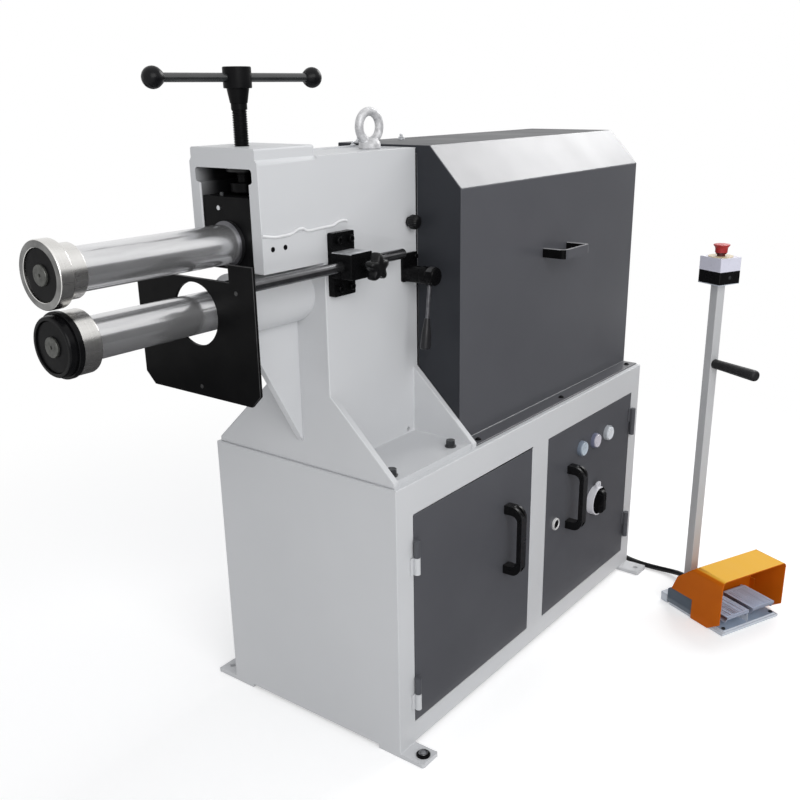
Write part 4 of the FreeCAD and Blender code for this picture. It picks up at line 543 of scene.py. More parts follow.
knob = add_turned(switch, BACK, (
    (3, 30), (3.2, 32.5), (4.2, 33.8), (6, 34.2), (11.5, 34.2), (11.5, 8.9), (40, 8.9)), sides=96)
grip = add_block((switch.x - 0.0085, -0.284, switch.z - 0.0322),
                 (switch.x + 0.0085, -0.263, switch.z + 0.0322))
round_folds(grip, 0.0125, lambda e: abs(middle(e).x - switch.x) < 0.0001 and middle(e).y < -0.2839, 8)
combine(knob, soften(grip, 0.0022, 3), "UNION")
combine(knob, add_block((switch.x - 0.0012, -0.29, switch.z + 0.006),
                        (switch.x + 0.0012, -0.2832, switch.z + 0.024)))
hand_over(smooth(knob, 30), "main_switch_knob", black_plastic, "main_switch")

# Door lock: a bright quarter-turn cam lock whose black core has a key slot.
# Its steel tongue reaches behind the frame when it is turned.
lock = Vector((0.092, -0.248, 0.301))
ring = add_turned(lock, FRONT, (
    (3, 10.8), (4.6, 11.2), (6, 12.4), (6, 14.2), (4.8, 15.6), (0.3, 16), (0.3, 8.9), (-27, 8.9)), sides=64)
tongue = add_block((lock.x - 0.008, -0.224, lock.z - 0.0545), (lock.x + 0.008, -0.221, lock.z + 0.008))
smooth(combine(ring, soften(tongue, 0.0008), "UNION"))
plated_steel = uneven_finish(
    "satin_plated_lock", "ground_steel", (0.80, 0.80, 0.80), (0.66, 0.66, 0.66),
    gloss=0.4, dull=0.52, blotch=0.02, grain=0.0008, metal=0.3)
hand_over(ring, "cam_lock", plated_steel, "lock")
core = add_turned(lock, FRONT, ((2.6, 10.6), (4, 10.6), (4.5, 10.1)))
combine(core, add_block((lock.x - 0.0014, -0.26, lock.z - 0.0065),
                        (lock.x + 0.0014, -0.2512, lock.z + 0.0065)))
hand_over(smooth(core), "cam_lock_core", black_plastic, "lock")


# Electrical panel: a zinc-plated plate on stand-offs behind the right door, with contactors on a rail,
# a frequency converter, a terminal strip and the wires between them.
def add_wire(name, points, thickness, finish):
    """A fixed wire or bead of round section along a smooth line led by points, as a mesh."""
    work_on(add_line(name, points, thickness / 2, course_steps=6, round_steps=3))
    bpy.ops.object.convert(target="MESH")
    wire = bpy.context.object
    bpy.ops.object.shade_smooth()
    wire.data.materials.clear()
    return hand_over(wire, name, finish)


def soft_block(low, high, radius):
    """A block with rounded edges."""
    return smooth(soften(add_block(low, high), radius))


def spread(master, names, places, finish, body="machine", replaced=None):
    """Hands over a numbered copy of a piece at each place, and removes the piece itself."""
    for count, place in enumerate(places):
        hand_over(copy_to(master, place), names % (count + 1), finish, body, replaced)
    bpy.data.objects.remove(master)


zinc = uneven_finish(
    "zinc_plate", "ground_steel", (0.50, 0.50, 0.47), (0.36, 0.37, 0.36),
    gloss=0.36, dull=0.55, grain=0.001, relief=0.00003, metal=1.0)
device_grey = uneven_finish(
    "device_dark_grey", "black_plastic", (0.036, 0.038, 0.042), (0.026, 0.028, 0.031),
    gloss=0.36, dull=0.5, blotch=0.05, grain=0.0008, relief=0.00003, shine=0.4)
device_pale = uneven_finish(
    "device_pale_grey", "pale_plastic", (0.50, 0.51, 0.50), (0.43, 0.44, 0.44),
    gloss=0.36, dull=0.5, blotch=0.05, grain=0.0008, relief=0.00003, shine=0.4)
panel = dress("electrical_panel", zinc, 0.0012, 0.02, 2)
second_finish(panel, device_grey, lambda at, normal: at.y < 0.2298)
contactor_z = 0.4300
wire_looks = (black_plastic, bpy.data.materials["cap_pale_blue"])
front = soft_block((0.004, 0.136, contactor_z + 0.018), (0.041, 0.146, contactor_z + 0.062), 0.0015)
screw = smooth(add_turned((0.0095, 0.1452, contactor_z), FRONT, (
    (0, 3.6), (1.2, 3.6), (1.8, 3), (1.8, 1.2), (1.2, 1)), sides=16))
for count in range(4):
    x = 0.110 + 0.057 * count
    hand_over(copy_to(front, (x, 0, 0)), "contactor_front_%d" % (count + 1), device_pale)
    for row, rise in enumerate((0.009, 0.071)):
        for column in range(3):
            hand_over(copy_to(screw, (x + 0.013 * column, 0, rise)),
                      "contactor_screw_%d_%d_%d" % (count + 1, row + 1, column + 1), bright_steel)
    for column in range(2):
        start = x + 0.013 + 0.018 * column
        add_wire("contactor_wire_%d_%d" % (count + 1, column + 1), (
            (start, 0.146, contactor_z + 0.006), (start, 0.137, contactor_z - 0.006),
            (start, 0.148, contactor_z - 0.040), (start + 0.006 * column, 0.185, contactor_z - 0.075),
            (start - 0.004, 0.200, contactor_z - 0.15), (start + 0.003, 0.188, 0.268),
            (start, 0.183, 0.226)), 0.0032, wire_looks[column])
bpy.data.objects.remove(front)
bpy.data.objects.remove(screw)
rail = soft_block((0.078, 0.222, contactor_z + 0.026), (0.440, 0.2305, contactor_z + 0.054), 0.001)
hand_over(rail, "contactor_rail", zinc)
terminal = soft_block((0.112, 0.1815, 0.1765), (0.1232, 0.186, 0.2065), 0.0010)
spread(terminal, "terminal_%02d", [(0.0134 * count, 0, 0) for count in range(22)], device_pale)

# Column: two uprights with flared feet and two webs, welded of thick plate to a bolted base plate.
# It is painted light grey with the cabinet; its edges are ground round before painting.
dress("column_frame", light_paint, 0.0025, 0.02, where=lambda e: middle(e).z < 1.026)

# Head: a welded box of thick plate with an open end and a screwed boss. Its throat is coloured near black
# as painted shade, with a painted pool of light on the far wall at its mouth. A ground weld runs along its
# side as a low wavy bead above two set screws, coloured lighter as a painted highlight.
throat_painted_shade = uneven_finish(
    "painted_throat_shade", "light_paint", (0.010, 0.010, 0.011), (0.005, 0.005, 0.006),
    gloss=0.32, dull=0.5, blotch=0.05, grain=0.0016, relief=0.00004, shine=0.3)
tree = throat_painted_shade.node_tree
parts = add_node(tree, "SeparateXYZ", {"Vector": add_node(tree, "TexCoord", {}).outputs["Object"]})
reaches = [add_node(tree, "MapRange", {"From Min": none, "From Max": full, "Value": parts.outputs[axis]},
                    interpolation_type="SMOOTHSTEP").outputs["Result"]
           for axis, none, full in (("X", -0.655, -0.702), ("Y", 0.040, 0.077), ("Z", 1.120, 1.190))]
painted_light_patch = reaches[0]
for reach in reaches[1:]:
    painted_light_patch = add_node(tree, "Math", {0: painted_light_patch, 1: reach}, operation="MULTIPLY").outputs[0]


def tint(finish, share, colour):
    """Draws a finish towards another colour by a share of 0 to 1."""
    tree = finish.node_tree
    own = tree.nodes["Color Ramp"].outputs["Color"]
    mixed = add_node(tree, "Mix", {"B": (*colour, 1), "Factor": share, "A": own}, data_type="RGBA")
    tree.links.new(mixed.outputs["Result"], tree.nodes["Principled BSDF"].inputs["Base Color"])


# Painted light: a pool of light on the far inner wall at the throat's mouth, tinted into the near black.
tint(throat_painted_shade, painted_light_patch, (0.36, 0.365, 0.375))
head = merged_copy("head_frame")
for top, drop in ((1.097, 0.0055), (1.104, 0.0115)):
    edit(head, "VERT", lambda v: abs(v.co.z - top) < 0.0004 and v.co.y < -0.0848,
         bpy.ops.transform.translate, value=(0, 0, -drop))
round_folds(head, 0.001, lambda e: straight_fold(e, 0.02) and middle(e).z > 1.2175, 2)
round_folds(head, 0.003, lambda e: straight_fold(e, 0.02) and middle(e).z < 1.215
            and not (middle(e).z < 1.029 and middle(e).x > -0.5)
            and not (middle(e).y < -0.0845 and 1.08 < middle(e).z < 1.11
                     and abs(e.verts[0].co.x - e.verts[1].co.x) > 0.01))
hand_over(smooth(head), "head_frame", light_paint)
# Painted shade: the throat's inner faces take the near black finish.
second_finish(head, throat_painted_shade, lambda at, normal: -0.6975 < at.x < -0.262 and abs(at.y) < 0.0745
              and at.z < 1.2056)
chance = random.Random(7)
seam = ((-0.7005, 1.0957), (-0.692, 1.0942), (-0.682, 1.0922), (-0.670, 1.0901), (-0.655, 1.0902),
        (-0.6375, 1.0906), (-0.625, 1.0919), (-0.620, 1.0948), (-0.611, 1.0974), (-0.599, 1.0980),
        (-0.594, 1.0950), (-0.588, 1.0921), (-0.577, 1.0917), (-0.565, 1.0922), (-0.553, 1.0926),
        (-0.540, 1.0931), (-0.528, 1.0934), (-0.515, 1.0941), (-0.509, 1.0970), (-0.497, 1.0999),
        (-0.486, 1.1005), (-0.477, 1.0979))
# Painted highlight: the weld bead is coloured lighter than the head's paint, for the light along its crest.
weld_painted_highlight = uneven_finish(
    "weld_bead_painted_highlight", "light_paint", (0.76, 0.765, 0.775), (0.66, 0.665, 0.675),
    gloss=0.3, dull=0.42, grain=0.0018, relief=0.00008)
add_wire("head_side_weld", [(x, -0.0862 + max(0, 0.020 * (x + 0.537)) + chance.uniform(-0.0004, 0.0004),
                             z + chance.uniform(-0.0004, 0.0004)) for x, z in seam], 0.0056, weld_painted_highlight)
ramp = edit(add_block((-0.5375, -0.0865, 1.0795), (-0.4760, -0.0845, 1.0930)), "VERT",
            lambda v: v.co.x > -0.477 and v.co.y < -0.086, bpy.ops.transform.translate, value=(0, 0.0015, 0))
hand_over(ramp, "head_side_ground_end", light_paint)
plug = add_turned((0, -0.0863, 1.070), FRONT, ((0, 4.6), (0.8, 4.6), (1.2, 4.2), (1.2, 2.4), (-2, 2.2)),
                  sides=24)
spread(smooth(plug), "head_side_plug_%d", ((-0.677, 0, 0), (-0.646, 0, 0)), black_steel)

# Lower shaft's housing: a thick bearing tube through the column with a triangular rib under it.
# The bronze bushes at its ends are pressed in and turned flush.
dress("lower_shaft_housing", light_paint, 0.0015, 0.02)
bronze = uneven_finish(
    "bearing_bronze", "bronze", (0.50, 0.34, 0.16), (0.40, 0.27, 0.13),
    gloss=0.25, dull=0.4, grain=0.0005, metal=1.0)
bush = dress("lower_shaft_bushes", bronze)
second_finish(bush, black_steel, lambda at, normal: normal.x < -0.9)

# Foot bolts: four blackened hexagon bolts on washers that hold the column's foot to the cabinet top.
# Their heads have the turned crown of a forged bolt.
oiled_bolt = uneven_finish(
    "oiled_grey_bolt", "black_steel", (0.040, 0.043, 0.047), (0.016, 0.017, 0.019),
    gloss=0.25, dull=0.42, blotch=0.008, relief=0.00004)
foot_bolt = add_turned((0, 0, 0.0030), UP, ((0, 10.4), (12, 10.4)), sides=6)
crown = add_turned((0, 0, 0.0030), UP, ((-1, 11), (10.5, 11), (12.1, 8.8)), sides=64)
smooth(soften(combine(foot_bolt, crown, "INTERSECT"), 0.0003, 2, 25), 25)
washer = add_turned((0, 0, 0), UP, ((0, 11.8), (0.5, 12.2), (2.5, 12.2), (3, 11.6)))
combine(foot_bolt, smooth(washer, 30), "UNION")
foot_top = 0.622
spread(foot_bolt, "foot_bolt_%d", [(x, y, foot_top) for y in (-0.210, 0.210) for x in (-0.513, -0.313)],
       oiled_bolt, replaced="machine_bolts")

# Eye bolt: a drop-forged lifting eye with a thick round collar, left bare.
# The forging's fillets are made by fusing ring and collar and smoothing the skin.
forged_steel = uneven_finish(
    "forged_bare_steel", "ground_steel", (0.72, 0.72, 0.73), (0.46, 0.46, 0.47),
    gloss=0.42, dull=0.62, blotch=0.010, grain=0.0020, relief=0.0004, metal=0.35)
eye = Vector((-0.300, 0, 1.217))
loop = add_shape(bpy.ops.mesh.primitive_torus_add, major_segments=96, minor_segments=32, major_radius=0.0289,
                 minor_radius=0.0088, location=eye + Vector((0, 0, 0.0432)),
                 rotation=(math.radians(90), 0, math.radians(-5)))
neck = add_turned(eye, UP, (
    (-18, 9.8), (0, 9.8), (0, 21.5), (2, 22.5), (10, 22.2), (16, 19), (21, 12)), sides=64)
combine(loop, neck, "UNION")
apply_modifier(loop, "REMESH", mode="VOXEL", voxel_size=0.0011)
apply_modifier(loop, "SMOOTH", factor=0.5, iterations=6)
bpy.ops.object.shade_smooth()
hand_over(loop, "eye_bolt", forged_steel)


# Pressure screw: a trapezoid-threaded spindle with a turned collar, cone and hub, all blackened.
# Its thread runs through the bronze nut in the boss; the crowned pad under it presses on the block.
def add_thread(foot, pitch, turns, root, crest, sides=40):
    """A helical thread along Z: one tooth's profile, drawn out of a circle's points and screwed up."""
    piece = add_shape(bpy.ops.mesh.primitive_circle_add, vertices=5, radius=crest, location=foot)
    edit(piece, "EDGE", lambda e: {v.index for v in e.verts} == {0, 4}, bpy.ops.mesh.delete, type="EDGE")
    for corner, (radius, share) in zip(piece.data.vertices, (
            (root, 0.0), (root, 0.28), (crest, 0.42), (crest, 0.86), (root, 1.0))):
        corner.co = (radius, 0, pitch * share)
    apply_modifier(piece, "SCREW", axis="Z", screw_offset=pitch, iterations=turns, steps=sides,
                   render_steps=sides, use_merge_vertices=True)
    bpy.ops.object.mode_set(mode="EDIT")
    bpy.ops.mesh.select_all(action="SELECT")
    bpy.ops.mesh.remove_doubles(threshold=0.00001)
    bpy.ops.transform.translate(value=foot)
    bpy.ops.mesh.fill_holes(sides=0)
    bpy.ops.mesh.normals_make_consistent(inside=False)
    bpy.ops.object.mode_set(mode="OBJECT")
    return piece


spindle = Vector((-0.652, 0, 0))
thread = add_thread((spindle.x, 0, 1.186), 0.004, 29, 0.0113, 0.0129)
hand_over(smooth(thread, 30), "pressure_screw_thread", black_steel, "screw")
turned_piece("pressure_screw", black_steel, spindle, UP, (
    (1165.5, 7.4), (1166.5, 7.9), (1178.2, 7.9), (1178.2, 11.2), (1299, 11.2), (1299, 13.3), (1300, 14),
    (1309.4, 14), (1310, 13.6), (1310, 14.8), (1310.6, 15.2), (1333.6, 19.3), (1334, 19.6), (1334, 22.8),
    (1334.4, 24), (1335.6, 24.5), (1367.2, 24.5), (1368.4, 24), (1369, 22.8), (1369, 17.2), (1368.4, 16)),
    sides=96, angle=30, body="screw")

# Tommy bar: a blackened round bar pushed through the hub, with two screwed-on polished balls.
# Each ball has a short flat shoulder where it meets the bar.
ball_black = uneven_finish(
    "polished_black_ball", "black_steel", (0.008, 0.008, 0.009), (0.004, 0.004, 0.005),
    gloss=0.24, dull=0.36, blotch=0.02, grain=0.0008, shine=0.14)
bar_black = uneven_finish(
    "oiled_black_bar", "black_steel", (0.022, 0.024, 0.025), (0.012, 0.013, 0.014),
    gloss=0.2, dull=0.3, grain=0.0008, shine=1.0)
half_bar = ((145, 7.6), (144, 10), (145.2, 11.2), (148, 13.4), (152, 16.1), (156, 17.5), (160, 18),
            (164, 17.5), (168, 16.1), (171.2, 14.1), (174, 11.3), (176, 8.2), (177.3, 5), (177.8, 2.5))
tommy_centre = Vector((spindle.x, 0, 1.3515))
tommy_way = Vector((math.cos(math.radians(-10)), math.sin(math.radians(-10)), 0))
tommy = turned_piece(
    "tommy_bar", bar_black, tommy_centre, tommy_way,
    tuple((-reach, radius) for reach, radius in reversed(half_bar)) + ((-145, 7.5), (145, 7.5)) + half_bar,
    sides=64, angle=50, body="screw")
second_finish(tommy, ball_black, lambda at, normal: abs((at - tommy_centre).dot(tommy_way)) > 0.1445)

# Nut and pad: the nut's flange sits under the boss and its upper face is painted over with the head.
# The pad is turned steel with a crowned underside that rocks on the bearing block.
nut = dress("screw_nut", bronze)
second_finish(nut, light_paint, lambda at, normal: normal.z > 0.9 and at.z > 1.23)
# Painted shade: the nut's part inside the throat takes the throat's near black.
second_finish(nut, throat_painted_shade, lambda at, normal: at.z < 1.2056)
dress("pressure_pad", black_steel, body="screw_pad")

# Upper arm: the blackened bearing block in the head's open end, its tube and its pivot bosses.
# A small bright screw holds the block's cover, and a thin ground ring shows round the shaft.
arm = dress("upper_arm", black_steel, 0.0015, 0.02, body="tilting_arm")
arm_top = max(corner.co.z for corner in arm.data.vertices if corner.co.x < -0.66)
second_finish(arm, bright_steel, lambda at, normal: at.x < -0.6974
              and (at.y - 0.019) ** 2 + (at.z - 1.137) ** 2 < 0.00003)
turned_piece("upper_arm_top_screw", oiled_bolt, (-0.688, 0.020, arm_top), UP, (
    (-2, 3.6), (5, 3.6), (6, 2.8), (6, 1.4), (4.6, 1.2)), sides=24, body="tilting_arm")


def turned_finish(name, light, dark, gloss, dull, height, groove, relief, depth, metal=1.0):
    """Machined steel: tool marks round an axis along X at this height, and soft streaks along it."""
    finish, tree, shader = start_finish(name, "ground_steel")
    shader["Metallic"].default_value = metal
    place = add_node(tree, "TexCoord", {}).outputs["Object"]
    centred = add_node(tree, "Mapping", {"Location": (0, 0, -height), "Vector": place}).outputs["Vector"]
    across = add_node(tree, "VectorMath", {1: (0, 1, 1), 0: centred}, operation="MULTIPLY").outputs["Vector"]
    radius = add_node(tree, "VectorMath", {0: across}, operation="LENGTH").outputs["Value"]
    parts = add_node(tree, "SeparateXYZ", {"Vector": centred})
    mark_place = add_node(tree, "CombineXYZ", {"X": parts.outputs["X"], "Y": radius}).outputs["Vector"]
    marks = add_node(tree, "TexNoise", {"Scale": 1 / groove, "Detail": 2, "Vector": mark_place},
                     noise_dimensions="2D").outputs["Fac"]
    stretched = add_node(tree, "Mapping", {"Scale": (6, 45, 45), "Vector": centred}).outputs["Vector"]
    streaks = add_node(tree, "TexNoise", {"Scale": 1, "Detail": 4, "Vector": stretched}).outputs["Fac"]
    shades = add_shades(tree, streaks, dark, light)
    lines = add_range(tree, marks, 0.35, 0.65, 1 - depth, 1 + depth)
    tinted = add_node(tree, "VectorMath", {0: shades, "Scale": lines}, operation="SCALE")
    tree.links.new(tinted.outputs["Vector"], shader["Base Color"])
    tree.links.new(add_range(tree, streaks, 0.3, 0.7, gloss, dull), shader["Roughness"])
    bump = add_node(tree, "Bump", {"Strength": 0.5, "Distance": relief, "Height": marks})
    tree.links.new(bump.outputs["Normal"], shader["Normal"])
    return finish


upper_z, lower_z = 1.076, 0.966
upper_roll_left, lower_roll_left = -1.074, -1.071
ground_upper = turned_finish("ground_upper_shaft", (0.76, 0.76, 0.77), (0.60, 0.60, 0.61),
                             0.16, 0.27, upper_z, 0.0008, 0.000002, 0.015, 0.85)
ground_lower = turned_finish("ground_lower_shaft", (0.72, 0.72, 0.73), (0.58, 0.58, 0.59),
                             0.16, 0.25, lower_z, 0.0008, 0.000002, 0.015, 0.85)
turned_upper = turned_finish("turned_upper_roll", (0.76, 0.75, 0.73), (0.66, 0.65, 0.63),
                             0.22, 0.32, upper_z, 0.0011, 0.000006, 0.04)
turned_lower = turned_finish("turned_lower_collar", (0.72, 0.71, 0.69), (0.62, 0.61, 0.59),
                             0.22, 0.32, lower_z, 0.0011, 0.000006, 0.04)
bush_grey = turned_finish("turned_grey_bush", (0.17, 0.17, 0.18), (0.12, 0.12, 0.13),
                          0.34, 0.46, upper_z, 0.0011, 0.000006, 0.04)
dress("upper_bushes", bush_grey, body="tilting_arm")
dress("pivot_pins", bright_steel)

# Shafts: two ground steel bars, one above the other, with a smaller journal for the roll at the left end.
# The grinding leaves a satin surface with soft streaks along the bar.
for node, body, finish, nose, shoulder, end, height in (
        ("upper_shaft", "upper_drive", ground_upper, -1066, -1020, -208, upper_z),
        ("lower_shaft", "lower_drive", ground_lower, -1063, -1015, 20, lower_z)):
    turned_piece(node, finish, (0, 0, height), RIGHT, (
        (nose, 29), (nose + 1, 30), (shoulder, 30), (shoulder, 33.5), (shoulder + 1.5, 35), (end - 2, 35),
        (end, 33)), sides=128, angle=30, body=body)

# Rolls: the upper one is turned in one piece with a broad flange and a narrower collar.
# The lower one is a black hardened ring with nose and groove in front of a bright collar.
roll = turned_piece("upper_roll", turned_upper, (upper_roll_left, 0, upper_z), RIGHT, (
    (8, 30), (8, 41), (0.6, 41), (0, 41.6), (0, 50.8), (0.5, 51.9), (1.6, 52.7), (3, 53), (21.5, 53),
    (23.2, 52.4), (24, 51.2), (24, 43.6), (24.5, 43), (52.5, 43), (53.6, 42.6), (54, 41.5), (54, 34.5)),
    sides=128, angle=30, body="upper_drive")
turned_face = uneven_finish(
    "faced_roll_end", "ground_steel", (0.27, 0.27, 0.265), (0.12, 0.12, 0.118),
    gloss=0.3, dull=0.44, blotch=0.035, metal=1.0)
second_finish(roll, turned_face, lambda at, normal: normal.x < -0.9 and at.x < -1.07)
turned_piece("lower_roll_collar", turned_lower, (-1.048, 0, lower_z), RIGHT, (
    (0, 30), (0, 49.5), (0.5, 50.5), (1.6, 51), (30.5, 51), (32.2, 50.4), (33, 49), (33, 34.5)),
    sides=128, angle=30, body="lower_drive")
hardened = uneven_finish(
    "hardened_black_ring", "black_steel", (0.0055, 0.0055, 0.006), (0.003, 0.003, 0.0035),
    gloss=0.2, dull=0.3, grain=0.0007, relief=0.00001, shine=0.1)
turned_piece("lower_roll_ring", hardened, (lower_roll_left, 0, lower_z), RIGHT, (
    (8, 30), (8, 41), (0.6, 41), (0, 41.6), (0, 45.2), (0.5, 46.4), (2, 47.5), (3, 47.9), (10.8, 48.8),
    (11.2, 47.8), (13, 47.8), (13, 51.8), (13.8, 52.7), (15, 53), (21.5, 53), (22.6, 52.6), (23, 51.6),
    (23, 31)), sides=128, angle=30, body="lower_drive")

# Roll caps: a blackened disc sunk in each roll's end, held by a big flat screw with a centre hole.
# The screw heads are turned and left grey.
cap_grey = uneven_finish(
    "turned_grey_screw", "black_steel", (0.112, 0.114, 0.106), (0.050, 0.051, 0.047),
    gloss=0.34, dull=0.5, blotch=0.007, grain=0.0007, relief=0.00006, metal=0.6)
for name, body, left, height, node in (
        ("upper_roll", "upper_drive", upper_roll_left, upper_z, "upper_roll_cap"),
        ("lower_roll", "lower_drive", lower_roll_left, lower_z, "lower_roll_ring")):
    turned_piece(name + "_cap_disc", black_steel, (left, 0, height), RIGHT, (
        (3.2, 17), (3, 39), (3.4, 40.2), (4.6, 40.6), (8, 40.6)),
        sides=96, angle=30, body=body, replaced=node)
    turned_piece(name + "_cap_screw", cap_grey, (left, 0, height), RIGHT, (
        (3.4, 1), (2.4, 2.4), (-0.2, 2.8), (-0.8, 3.4), (-1, 6), (-1, 14.6), (-0.6, 15.8), (0.4, 16.4),
        (4, 16.4), (4, 7.8), (29, 7.8)), sides=64, angle=30, body=body)

# Gears: two spur gears with hubs on the shafts' right ends, which turn the upper shaft from the lower one.
# They are hobbed steel and run dry of paint behind the column.
dress("upper_gear", turned_upper, body="upper_drive")
dress("lower_gear", turned_lower, body="lower_drive")

# Depth gauge: a blackened stop plate on a round rod, which slides through a clamp block.
# The plate has a big hole for the lower shaft, a tab and two clipped corners.
scuffed_steel = uneven_finish(
    "scuffed_black_plate", "black_steel", (0.0065, 0.0065, 0.0068), (0.0040, 0.0040, 0.0043),
    gloss=0.34, dull=0.46, blotch=0.05, grain=0.0012, relief=0.00003, shine=0.06)
worn_edge_and_highlight = uneven_finish(
    "worn_and_highlit_black_edge", "black_steel", (0.055, 0.055, 0.056), (0.022, 0.022, 0.023),
    gloss=0.3, dull=0.42, blotch=0.012, shine=0.35)
plate = dress("gauge_plate", scuffed_steel, 0.0009, 0.012, 2, body="depth_gauge")
# Wear and painted highlight: the plate's rounded edges are coloured lighter than its faces.
second_finish(plate, worn_edge_and_highlight, lambda at, normal: max(abs(normal.x), abs(normal.y), abs(normal.z)) < 0.97
              and abs(at.x + 0.784) > 0.0024 and not 0.050 < math.hypot(at.y, at.z - 0.966) < 0.0555)
rod_black = uneven_finish(
    "glossy_black_rod", "black_steel", (0.150, 0.150, 0.156), (0.085, 0.085, 0.089),
    gloss=0.16, dull=0.26, blotch=0.06, relief=0.00001, metal=0.9)
turned_piece("gauge_rod", rod_black, (0, -0.120, 1.023), RIGHT, (
    (-781.2, 9), (-780.2, 10), (-352, 10), (-350, 8)), sides=64, angle=30, body="depth_gauge")
pin = add_turned((-0.787, 0, 0), (-1, 0, 0), ((-0.8, 3.8), (0, 3.8), (0.7, 3.2), (0.9, 1)), sides=24)
spread(smooth(pin), "gauge_plate_pin_%d", ((0, -0.105, 1.013), (0, 0, 0.835)), worn_edge_and_highlight, "depth_gauge")

# Bracket and clamp block: a plate screwed to the column with four socket screws carries the block.
# The block is slit, so that the star knob's stud pinches the rod.
glossy_black = uneven_finish(
    "glossy_black_bracket", "black_steel", (0.0046, 0.0046, 0.005), (0.0026, 0.0026, 0.0029),
    gloss=0.2, dull=0.34, grain=0.001, relief=0.00003, shine=0.08)
dress("gauge_bracket", glossy_black, 0.0009, 0.01, 2)
socket_screw = add_turned((0, 0, 0), FRONT, ((0, 6.8), (7.2, 6.8), (8, 6), (8, 4.2), (7.2, 3.8)), sides=40)
combine(socket_screw, add_turned((0, -0.012, 0), BACK, ((0, 3.6), (8, 3.6)), sides=6))
spread(smooth(socket_screw, 30), "bracket_screw_%d",
       [(x, -0.099, z) for z in (0.978, 1.068) for x in (-0.521, -0.488)], glossy_black,
       replaced="machine_bolts")
clamp = merged_copy("clamp_block")
combine(clamp, add_block((-0.545, -0.1209, 1.0), (-0.475, -0.1191, 1.014)))
round_folds(clamp, 0.0012, lambda e: straight_fold(e, 0.02) and middle(e).z > 1.015, 2)
hand_over(smooth(clamp), "clamp_block", glossy_black)
# Painted highlight with some scuffs: the block's top faces are coloured light grey.
clamp_top_highlight = uneven_finish(
    "scuffed_clamp_top_highlight", "black_steel", (0.78, 0.79, 0.81), (0.24, 0.245, 0.255),
    gloss=0.3, dull=0.45, blotch=0.022, grain=0.001, relief=0.00003, metal=0.3)
second_finish(clamp, clamp_top_highlight, lambda at, normal: normal.z > 0.5 and at.z > 1.045)

# Star knob: a five-lobed moulded knob with a steel stud, which clamps the gauge rod.
# Its lobes are rounded over at both ends and it narrows to a neck.
star = Vector((-0.502, -0.147, 1.023))
turned_piece("star_knob", black_plastic, star, FRONT, (
    (0.3, 10.8), (12, 10.8), (16, 12.5), (16.5, 19), (17.5, 23.5), (19.5, 25.8), (23, 26.8), (31, 27),
    (36, 26), (38.5, 24), (40, 20.5), (40.8, 15), (41, 9), (40.2, 4)),
    sides=100, lobes=5, depth=0.36, angle=60, body="rod_clamp")
turned_piece("star_knob_stud", bright_steel, star, FRONT, (
    (-16.5, 4.4), (-16, 4.9), (0.5, 4.9)), sides=32, body="rod_clamp")

# Pivot knob: a ribbed ball-like plastic knob on the front pivot pin of the upper arm.
# The ribs run from its neck to its flat front.
turned_piece("pivot_knob", black_plastic, (-0.285, -0.0853, 1.076), FRONT, (
    (0, 8.8), (3.5, 8.8), (4, 10.5), (6.2, 13), (10, 14.7), (14.5, 15), (19, 14.5), (22.5, 13.2), (25, 11),
    (26.3, 8.5), (26.8, 6)), sides=108, lobes=18, depth=0.09, angle=60, body="pivot_knob_body")

# Shift lever: a flanged bearing on the column carries a turning hub with a bright rod and a grip.
# It locks the lower shaft's axial place; flange and hub are blackened, the grip is moulded.
dress("lever_base", glossy_black, 0.0016, 0.01)
base_screw = add_turned((-0.273, -0.091, 0), FRONT, ((0, 5.6), (5, 5.6), (5.8, 4.8), (5.8, 2.6), (4, 2.2)),
                        sides=24)
spread(smooth(base_screw), "lever_base_screw_%d", ((0, 0, 1.005), (0, 0, 0.968)), glossy_black)
lever_hub = turned_piece("shift_lever", glossy_black, (-0.298, -0.1313, 0.973), FRONT, (
    (0, 17.6), (0.8, 18.6), (2, 19), (15, 19), (15.6, 18.4), (16.6, 18.4), (17.2, 19), (30, 19),
    (32.4, 18.2), (33.8, 16.6), (34, 12), (33.2, 6)), sides=80, angle=30, body="axial_lock")
# Painted highlight: the upper side of the hub's front band takes the lighter edge finish.
second_finish(lever_hub, worn_edge_and_highlight, lambda at, normal: at.y < -0.1475 and at.y > -0.1615 and at.z > 0.9845)
dull_steel = uneven_finish(
    "dull_grey_rod", "ground_steel", (0.17, 0.17, 0.18), (0.10, 0.10, 0.11),
    gloss=0.3, dull=0.45, blotch=0.01, grain=0.0006, metal=0.7)
lean = math.radians(7)
lever_root = (-0.298, -0.1483, 0.973)
lever_way = Vector((-math.sin(lean), 0, -math.cos(lean)))
turned_piece("shift_lever_rod", dull_steel, lever_root, lever_way, (
    (10, 3.6), (20.5, 3.6), (21, 4.4), (90, 4), (100, 4)), sides=32, angle=30, body="axial_lock")
turned_piece("shift_lever_grip", polished_plastic, lever_root, lever_way, (
    (86, 5), (86.8, 5.8), (95, 6.4), (106, 8.2), (115, 9.6), (125, 10.4), (145, 11), (148, 10.6),
    (149.6, 9.4), (150, 7)), sides=56, angle=50, body="axial_lock")

# Hood: folded 2 mm sheet over the drive with a chamfered front, screwed down through its front flange.
# It is powder coated dark grey; its seams are welded and ground at the corners.
hood_coat = uneven_finish(
    "hood_dark_coat", "dark_paint", (0.092, 0.094, 0.105), (0.080, 0.082, 0.092),
    gloss=0.27, dull=0.34, blotch=0.3, grain=0.0016)
